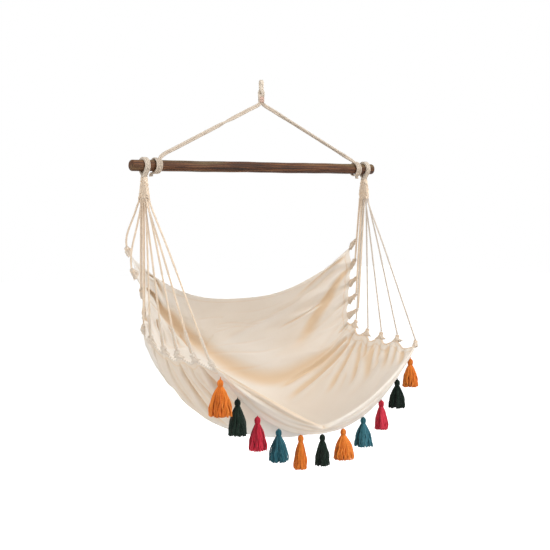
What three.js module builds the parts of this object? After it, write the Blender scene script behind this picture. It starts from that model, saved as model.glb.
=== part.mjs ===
// Hammock chair: a cotton seat cloth hung by two fans of cords from a round wooden spreader bar,
// and the bar hung by one rope that is bound into an eye. Eleven yarn tassels hang from the front hem.
// Millimetres. +X runs along the bar, +Y to the chair's back, +Z up. The origin is the inside of the
// rope eye, where the hook bears.
import * as THREE from 'three';

// Spreader bar
const barLength = 936;
const barSlide = -5;
const barDiameter = 33;
const barEndRadius = 7;

// Hanger rope: its height above the bar's axis, where it is tied and how thick it is
const hangerRopeDiameter = 10;
const eyeRise = 260;
const legMeetRise = 196;
const hitchInset = 43;
const hitchTurnGap = 0.6;
const eyeStrandSpread = 18;
const eyeTurnShare = 1.22;
const tailLength = 16;
const hitchTurns = 1.5;
const legStationShares = [0.86, 0.62, 0.36, 0.16, 0.07];

// Whipping that binds the two legs under the eye
const whippingCordDiameter = 3;
const whippingPitch = 3.5;
const whippingTurns = 6;
const whippingSlack = 0.7;

// Arms: a flat loop over each bar end, a woven clew below it and the cords that fan from the clew
const armInset = 41;
const loopWidth = 15;
const loopThickness = 7;
const clewTopDrop = 34;
const clewHeight = 62;
const clewTopWidth = 22;
const clewBottomWidth = 50;
const clewDepth = 14;
const clewRibs = 8;
const clewRibHeight = 1.3;
const cordDiameter = 6;
const cordStagger = 7;
const tiesPerSide = 10;

// Edge tabs: the gathered cloth that each cord is tied to
const tabLength = 24;
const tabDiameter = 9;
const tabOutwardShare = 1;
const tabFootGap = 1.4;
const tabEndShare = 0.7;
const bundleTies = 5;
const bundlePitch = 6.2;
const bundleRise = 26;
const bundleInset = 20;
const looseTies = 2;
const slackBow = 9;
const slackLowPower = 2.2;
const slackAsideShare = 0.4;

// Seat cloth, below the bar's axis. Sizes are for one half, and the two halves are alike
const clothThickness = 3;
const seatShift = 12;
const sideHalfWidth = 432;
const backCornerDrop = 258;
const frontCornerDrop = 560;
const backSetback = 87;
const frontReach = 271;
const backSagDrop = 412;
const seatDepthDrop = 825;
const backBulge = 194;
const lipBulge = 38;
const hemRise = 37;
const hemAhead = 9;
const lipFoldRadius = 7;
const scallopDepth = 13;
const pleatDepth = 9;
const backPleatDepth = 4;
const creaseDepth = 11;

// Tassels
const tasselCount = 11;
const tasselLength = 99;
const tasselHeadDiameter = 19;
const tasselNeckDiameter = 12;
const tasselSkirtDiameter = 52;
const tasselThreadDiameter = 3;
const tasselThreadLength = 5;
const tasselThreadGain = 6;
const tasselPleatDepth = 2.4;
const tasselSkirtWall = 2.8;

// Clearances
const clearance = 0.3;

const armSpread = barLength / 2 - armInset;
const hitchSpread = armSpread - hitchInset;
const hemCentreDrop = seatDepthDrop - hemRise;
const barRadius = barDiameter / 2;
const ropeRadius = hangerRopeDiameter / 2;
const barHeight = -eyeRise;

const colours = {
  wood: { color: 0x664a3c, roughness: 0.55, metalness: 0 },
  rope: { color: 0xe2d6ca, roughness: 0.9, metalness: 0 },
  cloth: { color: 0xe3d5c7, roughness: 0.95, metalness: 0 },
  orange: { color: 0xdb7534, roughness: 0.95, metalness: 0 },
  green: { color: 0x1e2a23, roughness: 0.95, metalness: 0 },
  red: { color: 0xb02b37, roughness: 0.95, metalness: 0 },
  teal: { color: 0x315e63, roughness: 0.95, metalness: 0 },
};

const chair = new THREE.Group();

function addPiece(name, geometry, finish, position) {
  const mesh = new THREE.Mesh(geometry, new THREE.MeshStandardMaterial(colours[finish]));
  mesh.name = name;
  mesh.position.copy(position);
  chair.add(mesh);
}

// A curve whose steps follow its points, so bends are fine and straight runs are coarse.
class StationCurve extends THREE.CatmullRomCurve3 {
  getPointAt(u, target) {
    return this.getPoint(u, target);
  }

  getTangentAt(u, target) {
    return this.getTangent(u, target);
  }

  getSpacedPoints(divisions) {
    return this.getPoints(divisions);
  }
}

function ellipseSection(width, height, sides) {
  const outline = [];
  for (let i = 0; i < sides; i += 1) {
    const angle = (2 * Math.PI * (i + 0.5)) / sides;
    outline.push(new THREE.Vector2((width / 2) * Math.cos(angle), (height / 2) * Math.sin(angle)));
  }
  return new THREE.Shape(outline);
}

function tubeAlong(points, diameter, sides, stepsPerPoint = 1, width = diameter) {
  return new THREE.ExtrudeGeometry(ellipseSection(width, diameter, sides), {
    steps: (points.length - 1) * stepsPerPoint,
    bevelEnabled: false,
    extrudePath: new StationCurve(points),
  });
}

// Smooth value at t, from 0 to 1, through evenly spaced values.
function valueAlong(values, t) {
  const place = THREE.MathUtils.clamp(t, 0, 1) * (values.length - 1);
  const index = Math.min(Math.floor(place), values.length - 2);
  const f = place - index;
  const before = values[Math.max(index - 1, 0)];
  const a = values[index];
  const b = values[index + 1];
  const after = values[Math.min(index + 2, values.length - 1)];
  const slopeA = (b - before) / 2;
  const slopeB = (after - a) / 2;
  const f2 = f * f;
  const f3 = f2 * f;
  return (2 * f3 - 3 * f2 + 1) * a + (f3 - 2 * f2 + f) * slopeA + (3 * f2 - 2 * f3) * b + (f3 - f2) * slopeB;
}

const mix = THREE.MathUtils.lerp;

// Spreader bar

function makeBar() {
  const half = barLength / 2;
  const arcSteps = 4;
  const profile = [new THREE.Vector2(0, -half)];
  for (let i = 0; i <= arcSteps; i += 1) {
    const angle = (Math.PI / 2) * (i / arcSteps);
    const r = barRadius - barEndRadius + barEndRadius * Math.sin(angle);
    profile.push(new THREE.Vector2(r, -half + barEndRadius - barEndRadius * Math.cos(angle)));
  }
  for (let i = arcSteps; i >= 0; i -= 1) {
    const angle = (Math.PI / 2) * (i / arcSteps);
    const r = barRadius - barEndRadius + barEndRadius * Math.sin(angle);
    profile.push(new THREE.Vector2(r, half - barEndRadius + barEndRadius * Math.cos(angle)));
  }
  profile.push(new THREE.Vector2(0, half));
  const geometry = new THREE.LatheGeometry(profile, 28);
  geometry.rotateZ(-Math.PI / 2);
  return geometry;
}

// Hanger rope, from the bar's axis: leg, a turn and a half round the bar, and a short tail

function hitchPoints(side) {
  const stationsPerTurn = 14;
  const wrapRadius = (barRadius + clearance) / Math.cos(Math.PI / stationsPerTurn) + ropeRadius;
  const pitch = hangerRopeDiameter + hitchTurnGap;
  const points = [];
  const legSlope = (legMeetRise - wrapRadius) / hitchSpread;
  for (const share of legStationShares) {
    const run = hitchSpread * share;
    points.push(new THREE.Vector3(side * (hitchSpread - run), 0, wrapRadius + run * legSlope));
  }
  const total = Math.round(hitchTurns * stationsPerTurn);
  for (let i = 1; i <= total; i += 1) {
    const turned = i / stationsPerTurn;
    const angle = 2 * Math.PI * turned;
    points.push(new THREE.Vector3(
      side * (hitchSpread - pitch / 2 + pitch * turned),
      -wrapRadius * Math.sin(angle),
      wrapRadius * Math.cos(angle),
    ));
  }
  const last = points[points.length - 1];
  points.push(new THREE.Vector3(last.x + side * ropeRadius, last.y + ropeRadius, last.z - ropeRadius / 2));
  points.push(new THREE.Vector3(last.x + side * ropeRadius, last.y + ropeRadius, last.z - tailLength));
  return points;
}

// The two strands leave the whipping side by side along the bar and turn a quarter round before they part.
function eyePoints() {
  const strandGap = 2 * clearance;
  const bound = ropeRadius + strandGap / 2;
  const whippingHeight = whippingPitch * whippingTurns;
  const top = eyeRise + ropeRadius;
  const twistStart = legMeetRise + whippingHeight;
  const openShares = [0, 0.25, 0.55, 0.85];
  const turnGain = 1.2;
  const openPower = 1.5;
  const eyeTurn = (Math.PI / 2) * eyeTurnShare;
  const points = [new THREE.Vector3(-bound, 0, legMeetRise)];
  points.push(new THREE.Vector3(-bound, 0, twistStart - whippingHeight / 2));
  const twistHeight = top - twistStart - eyeStrandSpread / 2;
  for (const share of openShares) {
    const angle = Math.PI - eyeTurn * Math.min(1, share * turnGain);
    const spread = mix(bound, eyeStrandSpread / 2, share ** openPower);
    points.push(new THREE.Vector3(
      spread * Math.cos(angle),
      spread * Math.sin(angle),
      twistStart + twistHeight * share,
    ));
  }
  const arcCentre = top - eyeStrandSpread / 2;
  const arcShares = [0.08, 0.25];
  const arcAngle = Math.PI - eyeTurn;
  const half = [];
  for (const angleShare of arcShares) {
    const angle = Math.PI * angleShare;
    const reach = (eyeStrandSpread / 2) * Math.cos(angle);
    half.push(new THREE.Vector3(
      reach * Math.cos(arcAngle),
      reach * Math.sin(arcAngle),
      arcCentre + (eyeStrandSpread / 2) * Math.sin(angle),
    ));
  }
  const rising = points.concat(half);
  const falling = rising.map((p) => new THREE.Vector3(-p.x, -p.y, p.z)).reverse();
  return rising.concat([new THREE.Vector3(0, 0, top)], falling);
}

function makeHangerRope() {
  const left = hitchPoints(-1).reverse();
  const right = hitchPoints(1);
  return tubeAlong(left.concat(eyePoints(), right), hangerRopeDiameter, 8);
}

function makeWhipping() {
  const strand = ropeRadius + clearance;
  const wrap = ropeRadius + whippingCordDiameter / 2 + whippingSlack;
  const stationsPerTurn = 20;
  const straight = 2 * strand;
  const arc = Math.PI * wrap;
  const around = 2 * (straight + arc);
  const points = [];
  const total = stationsPerTurn * (whippingTurns - 1);
  const low = legMeetRise + whippingCordDiameter;
  for (let i = 0; i <= total; i += 1) {
    const run = ((i % stationsPerTurn) / stationsPerTurn) * around;
    let x;
    let y;
    if (run < straight) {
      x = run - strand;
      y = -wrap;
    } else if (run < straight + arc) {
      const angle = (run - straight) / wrap;
      x = strand + wrap * Math.sin(angle);
      y = -wrap * Math.cos(angle);
    } else if (run < 2 * straight + arc) {
      x = strand - (run - straight - arc);
      y = wrap;
    } else {
      const angle = (run - 2 * straight - arc) / wrap;
      x = -strand - wrap * Math.sin(angle);
      y = wrap * Math.cos(angle);
    }
    points.push(new THREE.Vector3(x, y, low + (whippingPitch * i) / stationsPerTurn));
  }
  return tubeAlong(points, whippingCordDiameter, 6);
}

// Arm loop: a flat rope over the bar whose two legs close up into the clew

function makeArmLoop() {
  const startShare = -0.18;
  const stations = 12;
  const stationAngle = (2 * Math.PI * (0.5 - startShare)) / stations;
  const wrapRadius = (barRadius + clearance) / Math.cos(stationAngle / 2) + loopThickness / 2;
  const legY = loopThickness / 2 + clearance;
  const legBase = -clewTopDrop + 2 * clearance;
  const points = [new THREE.Vector3(0, -legY, legBase)];
  points.push(new THREE.Vector3(0, -legY, legBase + loopThickness / 2));
  const startAngle = startShare * Math.PI;
  for (let i = 0; i <= stations; i += 1) {
    const angle = mix(startAngle, Math.PI - startAngle, i / stations);
    points.push(new THREE.Vector3(0, -wrapRadius * Math.cos(angle), wrapRadius * Math.sin(angle)));
  }
  points.push(new THREE.Vector3(0, legY, legBase + loopThickness / 2));
  points.push(new THREE.Vector3(0, legY, legBase));
  return tubeAlong(points, loopThickness, 8, 1, loopWidth);
}

// Ring mesh: closed solid through rings of points, with a centre point at each end

function ringSolid(rings, startPoint, endPoint) {
  const sides = rings[0].length;
  const positions = [];
  for (const ring of rings) {
    for (const p of ring) positions.push(p.x, p.y, p.z);
  }
  const start = positions.length / 3;
  positions.push(startPoint.x, startPoint.y, startPoint.z);
  const end = start + 1;
  positions.push(endPoint.x, endPoint.y, endPoint.z);
  const faces = [];
  for (let r = 0; r < rings.length - 1; r += 1) {
    for (let i = 0; i < sides; i += 1) {
      const a = r * sides + i;
      const b = r * sides + ((i + 1) % sides);
      faces.push(a, b, b + sides, a, b + sides, a + sides);
    }
  }
  const lastRing = (rings.length - 1) * sides;
  for (let i = 0; i < sides; i += 1) {
    const next = (i + 1) % sides;
    faces.push(start, next, i);
    faces.push(end, lastRing + i, lastRing + next);
  }
  const geometry = new THREE.BufferGeometry();
  geometry.setAttribute('position', new THREE.Float32BufferAttribute(positions, 3));
  geometry.setIndex(faces);
  return geometry;
}

// Woven clew: ribs of weft across a wedge that widens toward the cords

const clewWidenPower = 1.3;
const clewCornerPower = 0.7;

function clewWidthAt(share) {
  return mix(clewTopWidth, clewBottomWidth, share ** clewWidenPower);
}

function makeClew() {
  const sides = 16;
  const ringsPerRib = 2;
  const total = clewRibs * ringsPerRib;
  const rings = [];
  for (let r = 0; r <= total; r += 1) {
    const share = r / total;
    const swell = r % ringsPerRib === 0 ? 0 : clewRibHeight;
    const halfWidth = clewWidthAt(share) / 2 + swell;
    const halfDepth = clewDepth / 2 + swell;
    const z = -clewTopDrop - clewHeight * share;
    const ring = [];
    for (let i = 0; i < sides; i += 1) {
      const angle = (-2 * Math.PI * i) / sides;
      const c = Math.cos(angle);
      const s = Math.sin(angle);
      ring.push(new THREE.Vector3(
        halfDepth * Math.sign(c) * Math.abs(c) ** clewCornerPower,
        halfWidth * Math.sign(s) * Math.abs(s) ** clewCornerPower,
        z,
      ));
    }
    rings.push(ring);
  }
  const topCentre = new THREE.Vector3(0, 0, -clewTopDrop);
  const bottomCentre = new THREE.Vector3(0, 0, -clewTopDrop - clewHeight);
  return ringSolid(rings, topCentre, bottomCentre);
}

// Seat cloth. u runs from -1 at the left side to 1 at the right, s from 0 at the back's top edge to 1 at
// the front lip. Each share list has one entry for each tie, from back to front.

const sideWidthShares = [1, 0.986, 0.972, 0.958, 0.944, 0.92, 0.912, 0.906, 0.9, 0.894];
const sideForwardShares = [0, 0.011, 0.02, 0.029, 0.043, 0.161, 0.342, 0.538, 0.758, 1];
const sideDropShares = [0, 0.215, 0.412, 0.6, 0.766, 0.868, 0.947, 0.964, 0.97, 1];
const centreBulgeShares = [0.2, 0.64, 0.98, 1.14, 1.14, 0.88, 0.5, 0.24, 0.08, 0];
const centreForwardShares = [0, 0, 0, 0.019, 0.048, 0.124, 0.286, 0.524, 0.79, 0.997];
const centreDropShares = [0, 0.157, 0.323, 0.489, 0.656, 0.81, 0.965, 1, 0.955, 0.85];
const sagPowerShares = [2.4, 2.3, 2.3, 2.4, 2.5, 2.5, 2.4, 2.1, 1.7, 1.2];

function sidePoint(s) {
  return {
    x: sideHalfWidth * valueAlong(sideWidthShares, s),
    y: backSetback - (backSetback + frontReach) * valueAlong(sideForwardShares, s),
    z: -backCornerDrop - (frontCornerDrop - backCornerDrop) * valueAlong(sideDropShares, s),
  };
}

function centrePoint(s) {
  return {
    y: backSetback + backBulge * valueAlong(centreBulgeShares, s)
      - (backSetback + frontReach) * valueAlong(centreForwardShares, s),
    z: -backSagDrop - (seatDepthDrop - backSagDrop) * valueAlong(centreDropShares, s),
  };
}

function smoothStep(low, high, value) {
  return THREE.MathUtils.smoothstep(value, low, high);
}

// The cloth stands upright up to the first share and lies flat from the second. The others place where the
// pleats begin, the crease that runs in from each back corner, and where the lip bulges.
const uprightShares = [0.35, 0.75];
const pleatStartShares = [0.4, 0.6];
const scallopPower = 10;
const pleatEndPower = 6;
const creaseInnerShare = 0.1;
const creaseRunShare = 0.3;
const creaseWidthShare = 0.12;
const creaseEndShares = [0.2, 0.35];
const lipStartShare = 0.75;
const lipPeakPower = 0.8;
const lipEaseShare = 0.9;
const sagForwardPower = 1.3;
const uprightScallopShare = 0.5;

// Between ties the side edge hangs back and down, and pleats run in from each tie.
function sheetPoint(u, s) {
  const side = sidePoint(s);
  const centre = centrePoint(s);
  const across = Math.abs(u);
  const sag = 1 - across ** valueAlong(sagPowerShares, s);
  const tiePhase = s * (tiesPerSide - 1);
  const between = (1 - Math.cos(2 * Math.PI * tiePhase)) / 2;
  const upright = 1 - smoothStep(...uprightShares, s);
  const edge = smoothStep(mix(...pleatStartShares, upright), 1, across);
  const depth = mix(pleatDepth, backPleatDepth, upright);
  const frontEase = 1 - smoothStep(lipEaseShare, 1, s);
  const scallop = scallopDepth * between * across ** scallopPower;
  const pleat = depth * edge * (1 - across ** pleatEndPower) * Math.cos(2 * Math.PI * tiePhase) * frontEase;
  const creaseOff = across - mix(1, creaseInnerShare, smoothStep(0, creaseRunShare, s));
  const creaseEnd = 1 - smoothStep(...creaseEndShares, s);
  const crease = creaseDepth * Math.exp(-((creaseOff / creaseWidthShare) ** 2)) * creaseEnd;
  const lip = lipBulge * Math.sin(Math.PI * across ** lipPeakPower) * smoothStep(lipStartShare, 1, s);
  return new THREE.Vector3(
    seatShift + Math.sign(u) * (side.x * across - scallop * (1 - uprightScallopShare * upright)),
    mix(side.y, centre.y, sag ** sagForwardPower) - lip + (pleat + crease) * upright,
    mix(side.z, centre.z, sag) + pleat * (1 - upright) - scallop * (1 - upright),
  );
}

const hemForwardPower = 2;
const hemSagPower = 2.2;

// The cloth turns over the lip and its hem hangs outside, a little ahead of the lip.
function hemPoint(u) {
  const corner = sidePoint(1);
  const across = Math.abs(u);
  return new THREE.Vector3(
    seatShift + corner.x * u,
    mix(corner.y, centrePoint(1).y - hemAhead, 1 - across ** hemForwardPower),
    mix(corner.z, -hemCentreDrop, 1 - across ** hemSagPower),
  );
}

const tasselPlaceShares = [0, 0.214, 0.425, 0.621, 0.8, 0.95];
const columnShares = [0, 0.107, 0.214, 0.32, 0.425, 0.525, 0.621, 0.71, 0.8, 0.88, 0.95, 1];
const foldShares = [0.35, 0.75, 1];
const foldCornerPower = 8;
const foldOverGain = 1.4;

function makeCloth() {
  const columns = columnShares.slice(1).reverse().map((share) => -share).concat(columnShares);
  const rowsPerTie = 3;
  const bodyRows = (tiesPerSide - 1) * rowsPerTie;
  const top = [];
  for (let r = 0; r <= bodyRows; r += 1) {
    top.push(columns.map((u) => sheetPoint(u, r / bodyRows)));
  }
  const lipRow = top[top.length - 1];
  for (const share of foldShares) {
    top.push(columns.map((u, c) => {
      const hem = hemPoint(u);
      const open = 1 - Math.abs(u) ** foldCornerPower;
      const over = lipFoldRadius * Math.sin(Math.PI * Math.min(1, share * foldOverGain)) * open;
      return new THREE.Vector3(
        mix(lipRow[c].x, hem.x, share),
        mix(lipRow[c].y, hem.y, share) - over - 2 * clothThickness * open * (1 - share),
        mix(lipRow[c].z, hem.z - clothThickness * (1 - open), share),
      );
    }));
  }
  return thickSheet(top, clothThickness);
}

// Closed solid from a grid of points and a second layer offset along the sheet's own normals
function thickSheet(grid, thickness) {
  const rows = grid.length;
  const columns = grid[0].length;
  const surface = new THREE.BufferGeometry();
  const positions = grid.flat().flatMap((p) => [p.x, p.y, p.z]);
  const upper = [];
  for (let r = 0; r < rows - 1; r += 1) {
    for (let c = 0; c < columns - 1; c += 1) {
      const a = r * columns + c;
      const b = a + 1;
      const d = a + columns;
      const e = d + 1;
      upper.push(a, d, b, b, d, e);
    }
  }
  surface.setAttribute('position', new THREE.Float32BufferAttribute(positions, 3));
  surface.setIndex(upper);
  surface.computeVertexNormals();
  const normals = surface.getAttribute('normal');
  const count = rows * columns;
  for (let i = 0; i < count; i += 1) {
    positions.push(
      positions[3 * i] - thickness * normals.getX(i),
      positions[3 * i + 1] - thickness * normals.getY(i),
      positions[3 * i + 2] - thickness * normals.getZ(i),
    );
  }
  const faces = upper.slice();
  for (let i = 0; i < upper.length; i += 3) {
    faces.push(upper[i] + count, upper[i + 2] + count, upper[i + 1] + count);
  }
  const border = [];
  for (let c = 0; c < columns - 1; c += 1) border.push(c);
  for (let r = 0; r < rows - 1; r += 1) border.push(r * columns + columns - 1);
  for (let c = columns - 1; c > 0; c -= 1) border.push((rows - 1) * columns + c);
  for (let r = rows - 1; r > 0; r -= 1) border.push(r * columns);
  for (let i = 0; i < border.length; i += 1) {
    const a = border[i];
    const b = border[(i + 1) % border.length];
    faces.push(a, b, b + count, a, b + count, a + count);
  }
  const solid = new THREE.BufferGeometry();
  solid.setAttribute('position', new THREE.Float32BufferAttribute(positions, 3));
  solid.setIndex(faces);
  return solid;
}

// Ties: where each cord leaves the clew, where it meets its tab, and where the tab meets the cloth

function tiePoints(side, index) {
  const s = index / (tiesPerSide - 1);
  const edgePoint = sheetPoint(side, s);
  const stagger = (index % 2 === 0 ? 1 : -1) * (cordStagger / 2);
  const exitSpan = clewBottomWidth - cordDiameter;
  const exit = new THREE.Vector3(
    side * (armSpread + stagger),
    exitSpan * (0.5 - s),
    -clewTopDrop - clewHeight - clearance,
  );
  const loose = side < 0 && index < looseTies;
  const corner = sidePoint(bundleTies / (tiesPerSide - 1));
  let meet;
  if (index < bundleTies && !loose) {
    const drop = -edgePoint.z - bundleRise;
    const along = (drop - clewTopDrop - clewHeight) / (-corner.z - clewTopDrop - clewHeight);
    const bundleY = mix(0, corner.y, along) + (bundleTies - index) * bundlePitch;
    const bundleX = seatShift + side * (corner.x + bundleInset + stagger);
    meet = new THREE.Vector3(mix(exit.x, bundleX, along), bundleY, -drop);
  } else {
    const pull = exit.clone().sub(edgePoint).normalize();
    const outward = edgePoint.clone().sub(sheetPoint(side * columnShares.at(-2), s)).normalize();
    pull.addScaledVector(outward, tabOutwardShare).normalize();
    meet = edgePoint.clone().addScaledVector(pull, tabLength);
  }
  return { edgePoint, exit, meet, loose };
}

function makeTab(edgePoint, meet) {
  const axis = meet.clone().sub(edgePoint);
  const length = axis.length() - tabFootGap;
  const r = tabDiameter / 2;
  const radiusShares = [0.3, 0.8, 1, 0.8, tabEndShare, 0.6];
  const heightShares = [0, 0.14, 0.34, 0.62, 0.84, 1];
  const profile = [new THREE.Vector2(0, 0)];
  radiusShares.forEach((share, i) => {
    profile.push(new THREE.Vector2(r * share, length * heightShares[i]));
  });
  profile.push(new THREE.Vector2(0, length));
  const geometry = new THREE.LatheGeometry(profile, 8);
  const turn = new THREE.Quaternion().setFromUnitVectors(new THREE.Vector3(0, 1, 0), axis.clone().normalize());
  geometry.applyQuaternion(turn);
  const foot = edgePoint.clone().addScaledVector(axis.clone().normalize(), tabFootGap);
  geometry.translate(foot.x, foot.y, foot.z);
  return geometry;
}

// The cord stops short of the tab by more where the two meet at a sharper bend.
function makeCord(exit, meet, edgePoint, side, loose) {
  const pull = meet.clone().sub(exit).normalize();
  const bend = pull.clone().cross(meet.clone().sub(edgePoint).normalize()).length();
  const end = meet.clone().addScaledVector(pull, -clearance - (tabDiameter / 2) * tabEndShare * bend);
  const points = [exit, exit.clone().setZ(exit.z - cordDiameter)];
  const stations = loose ? 8 : 3;
  for (let i = 1; i <= stations; i += 1) {
    const share = i / stations;
    const bow = loose ? slackBow * Math.sin(Math.PI * share ** slackLowPower) : 0;
    const point = exit.clone().lerp(end, share);
    point.y += bow;
    point.x += side * bow * slackAsideShare;
    points.push(point);
  }
  return tubeAlong(points, cordDiameter, 8);
}

// Tassel: thread with a domed top, round head, bound neck and a pleated skirt of yarn that flares, hollow
// below, to its cut ends. It hangs from z = 0.
const headHeightShare = 0.85;
const headShoulderShares = [0.8, 0.18];
const skirtFlareShares = [[0.38, 0.16], [0.74, 0.5]];
const hollowTopShares = [0.18, 0.2];
const pleatGrowthShares = [0.1, 0.5, 1];

function makeTassel(widthShare, lengthShare, headTop) {
  const sides = 20;
  const domeSteps = 3;
  const length = tasselLength * lengthShare;
  const headRadius = tasselHeadDiameter / 2;
  const neckRadius = tasselNeckDiameter / 2;
  const skirtRadius = (tasselSkirtDiameter / 2) * widthShare;
  const threadRadius = tasselThreadDiameter / 2;
  const headBase = headTop + tasselHeadDiameter * headHeightShare;
  const skirtLength = length - headBase;
  const hollowTop = headBase + skirtLength * hollowTopShares[0];
  const profile = [];
  for (let i = 1; i <= domeSteps; i += 1) {
    const angle = (Math.PI / 2) * (i / domeSteps);
    profile.push([threadRadius * Math.sin(angle), threadRadius * (1 - Math.cos(angle)), 0]);
  }
  profile.push([threadRadius, headTop, 0]);
  profile.push([headRadius * headShoulderShares[0], mix(headTop, headBase, headShoulderShares[1]), 0]);
  profile.push([headRadius, (headTop + headBase) / 2, 0]);
  profile.push([neckRadius, headBase, pleatGrowthShares[0]]);
  const flare = skirtFlareShares.map(([wide, down], i) => [
    mix(neckRadius, skirtRadius, wide), headBase + skirtLength * down, pleatGrowthShares[i + 1],
  ]);
  profile.push(...flare);
  profile.push([skirtRadius, length, 1]);
  profile.push([skirtRadius - tasselSkirtWall, length, 1]);
  profile.push([flare[1][0] - tasselSkirtWall, flare[1][1], flare[1][2]]);
  profile.push([flare[0][0] - tasselSkirtWall, headBase + skirtLength * hollowTopShares[1], flare[0][2]]);
  const rings = profile.map(([radius, drop, pleat]) => {
    const ring = [];
    for (let i = 0; i < sides; i += 1) {
      const angle = (-2 * Math.PI * i) / sides;
      const r = radius + (i % 2 === 0 ? -1 : 0) * tasselPleatDepth * pleat;
      ring.push(new THREE.Vector3(r * Math.cos(angle), r * Math.sin(angle), -drop));
    }
    return ring;
  });
  return ringSolid(rings, new THREE.Vector3(0, 0, 0), new THREE.Vector3(0, 0, -hollowTop));
}

const tasselColours = [
  'orange', 'green', 'red', 'teal', 'orange', 'green', 'orange', 'teal', 'red', 'green', 'orange',
];
const tasselWidthShares = [1.22, 1.06, 1, 1.1, 0.76, 0.9, 1.2, 1.1, 0.84, 1, 0.96];
const tasselLengthShares = [1.13, 1.11, 1.02, 0.99, 1.04, 0.96, 0.96, 0.93, 0.95, 0.95, 0.97];

// Each tassel hangs just under the hem, lower where the hem is steep.
function tasselPlace(index) {
  const slopeStep = 0.01;
  const step = index - (tasselCount - 1) / 2;
  const share = tasselPlaceShares[Math.abs(step)] * Math.sign(step);
  const hem = hemPoint(share);
  const near = hemPoint(Math.abs(share));
  const aside = hemPoint(Math.abs(share) + slopeStep);
  const slope = (aside.z - near.z) / (aside.x - near.x);
  hem.y += clothThickness / 2;
  const threadRadius = tasselThreadDiameter / 2;
  hem.z -= (threadRadius + clearance) * Math.hypot(1, slope) - threadRadius;
  hem.z -= clothThickness * share ** foldCornerPower;
  return hem;
}

// Assembly

const barCentre = new THREE.Vector3(0, 0, barHeight);
addPiece('hanger_rope', makeHangerRope(), 'rope', barCentre);
addPiece('eye_whipping', makeWhipping(), 'rope', barCentre);
addPiece('spreader_bar', makeBar(), 'wood', new THREE.Vector3(barSlide, 0, barHeight));
addPiece('seat_cloth', makeCloth(), 'cloth', barCentre);

for (const [label, side] of [['left', -1], ['right', 1]]) {
  const armPlace = new THREE.Vector3(side * armSpread, 0, barHeight);
  addPiece(`${label}_arm_loop`, makeArmLoop(), 'rope', armPlace);
  addPiece(`${label}_clew`, makeClew(), 'rope', armPlace);
  for (let i = 0; i < tiesPerSide; i += 1) {
    const number = String(i + 1).padStart(2, '0');
    const { edgePoint, exit, meet, loose } = tiePoints(side, i);
    addPiece(`${label}_cord_${number}`, makeCord(exit, meet, edgePoint, side, loose), 'rope', barCentre);
    addPiece(`${label}_tab_${number}`, makeTab(edgePoint, meet), 'cloth', barCentre);
  }
}

for (let i = 0; i < tasselCount; i += 1) {
  const place = tasselPlace(i).add(barCentre);
  const aside = Math.abs(2 * i / (tasselCount - 1) - 1);
  const threadLength = tasselThreadLength + tasselThreadGain * aside ** 2;
  const name = `tassel_${String(i + 1).padStart(2, '0')}`;
  const tassel = makeTassel(tasselWidthShares[i], tasselLengthShares[i], threadLength);
  addPiece(name, tassel, tasselColours[i], place);
}

export default chair;
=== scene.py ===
import math

import bpy
import numpy as np
from mathutils import Matrix


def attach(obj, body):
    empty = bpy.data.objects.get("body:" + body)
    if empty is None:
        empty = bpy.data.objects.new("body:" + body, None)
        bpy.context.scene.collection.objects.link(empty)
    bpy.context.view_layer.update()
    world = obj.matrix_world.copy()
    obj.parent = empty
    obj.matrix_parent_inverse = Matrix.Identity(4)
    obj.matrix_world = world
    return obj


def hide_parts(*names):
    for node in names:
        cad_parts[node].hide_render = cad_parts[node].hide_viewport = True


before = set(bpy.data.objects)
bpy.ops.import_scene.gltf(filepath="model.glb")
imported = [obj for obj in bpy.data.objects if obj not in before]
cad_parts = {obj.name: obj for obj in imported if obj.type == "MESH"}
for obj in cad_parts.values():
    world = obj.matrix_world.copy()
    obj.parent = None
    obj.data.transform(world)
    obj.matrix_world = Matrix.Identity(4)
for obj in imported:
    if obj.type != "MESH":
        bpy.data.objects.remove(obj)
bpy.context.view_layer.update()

# Shapes are worked out in millimetres from the middle of the bar's axis, as in the part's source, and
# are written in metres in the row frame, whose origin is the eye.
MM = 0.001
EYE_RISE = 260

# Driving dimensions, as in the part's source, and the sizes that only the scene shows
BAR_LENGTH = 936
BAR_SLIDE = -5
BAR_DIAMETER = 33
BAR_END_RADIUS = 7
HANGER_DIAMETER = 10
LEG_MEET_RISE = 196
LEG_STATION_SHARES = [0.86, 0.62, 0.36, 0.16, 0.07]
LEG_TURN_INSET = 20
RIGHT_LEG_TURN = 1.15
HITCH_INSET = 43
HITCH_TURNS = 1.5
HITCH_TURN_GAP = 0.6
EYE_STRAND_SPREAD = 18
EYE_TURN_SHARE = 1.22
EYE_START = 20
TAIL_SEEN = 9
WHIPPING_DIAMETER = 3
WHIPPING_PITCH = 3.5
WHIPPING_TURNS = 6
WHIPPING_TWINE = 1.9
ARM_INSET = 41
LOOP_WIDTH = 15
LOOP_THICKNESS = 7
CLEW_TOP_DROP = 34
CLEW_HEIGHT = 62
CLEW_TOP_WIDTH = 22
CLEW_BOTTOM_WIDTH = 50
CLEW_DEPTH = 14
CLEW_TURNS = 0.9
CORD_DIAMETER = 6
THICK_CORD_SHARE = 1.04
THIN_CORD_SHARE = 0.86
CORD_STAGGER = 7
TIES = 10
TAB_LENGTH = 24
TAB_DIAMETER = 9
TAB_OUTWARD_SHARE = 1
TAB_END_SHARE = 0.7
KNOT_PLACE_SHARE = 0.78
KNOT_CLIMB = 2.6
FRONT_KNOT_CLIMB = 4.2
KNOT_CORD = 4.2
HEAVY_KNOT_CORD = 5.4
KNOT_TAIL = 8
RIM_RADIUS = 2.4
RIM_PUCKER_LENGTH = 8
DOUBLED_LENGTH = 62
BUNDLE_TIES = 5
BUNDLE_PITCH = 6.2
BUNDLE_RISE = 26
BUNDLE_INSET = 20
LOOSE_TIES = 2
SLACK_BOW = 9
SLACK_LOW_POWER = 2.2
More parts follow.
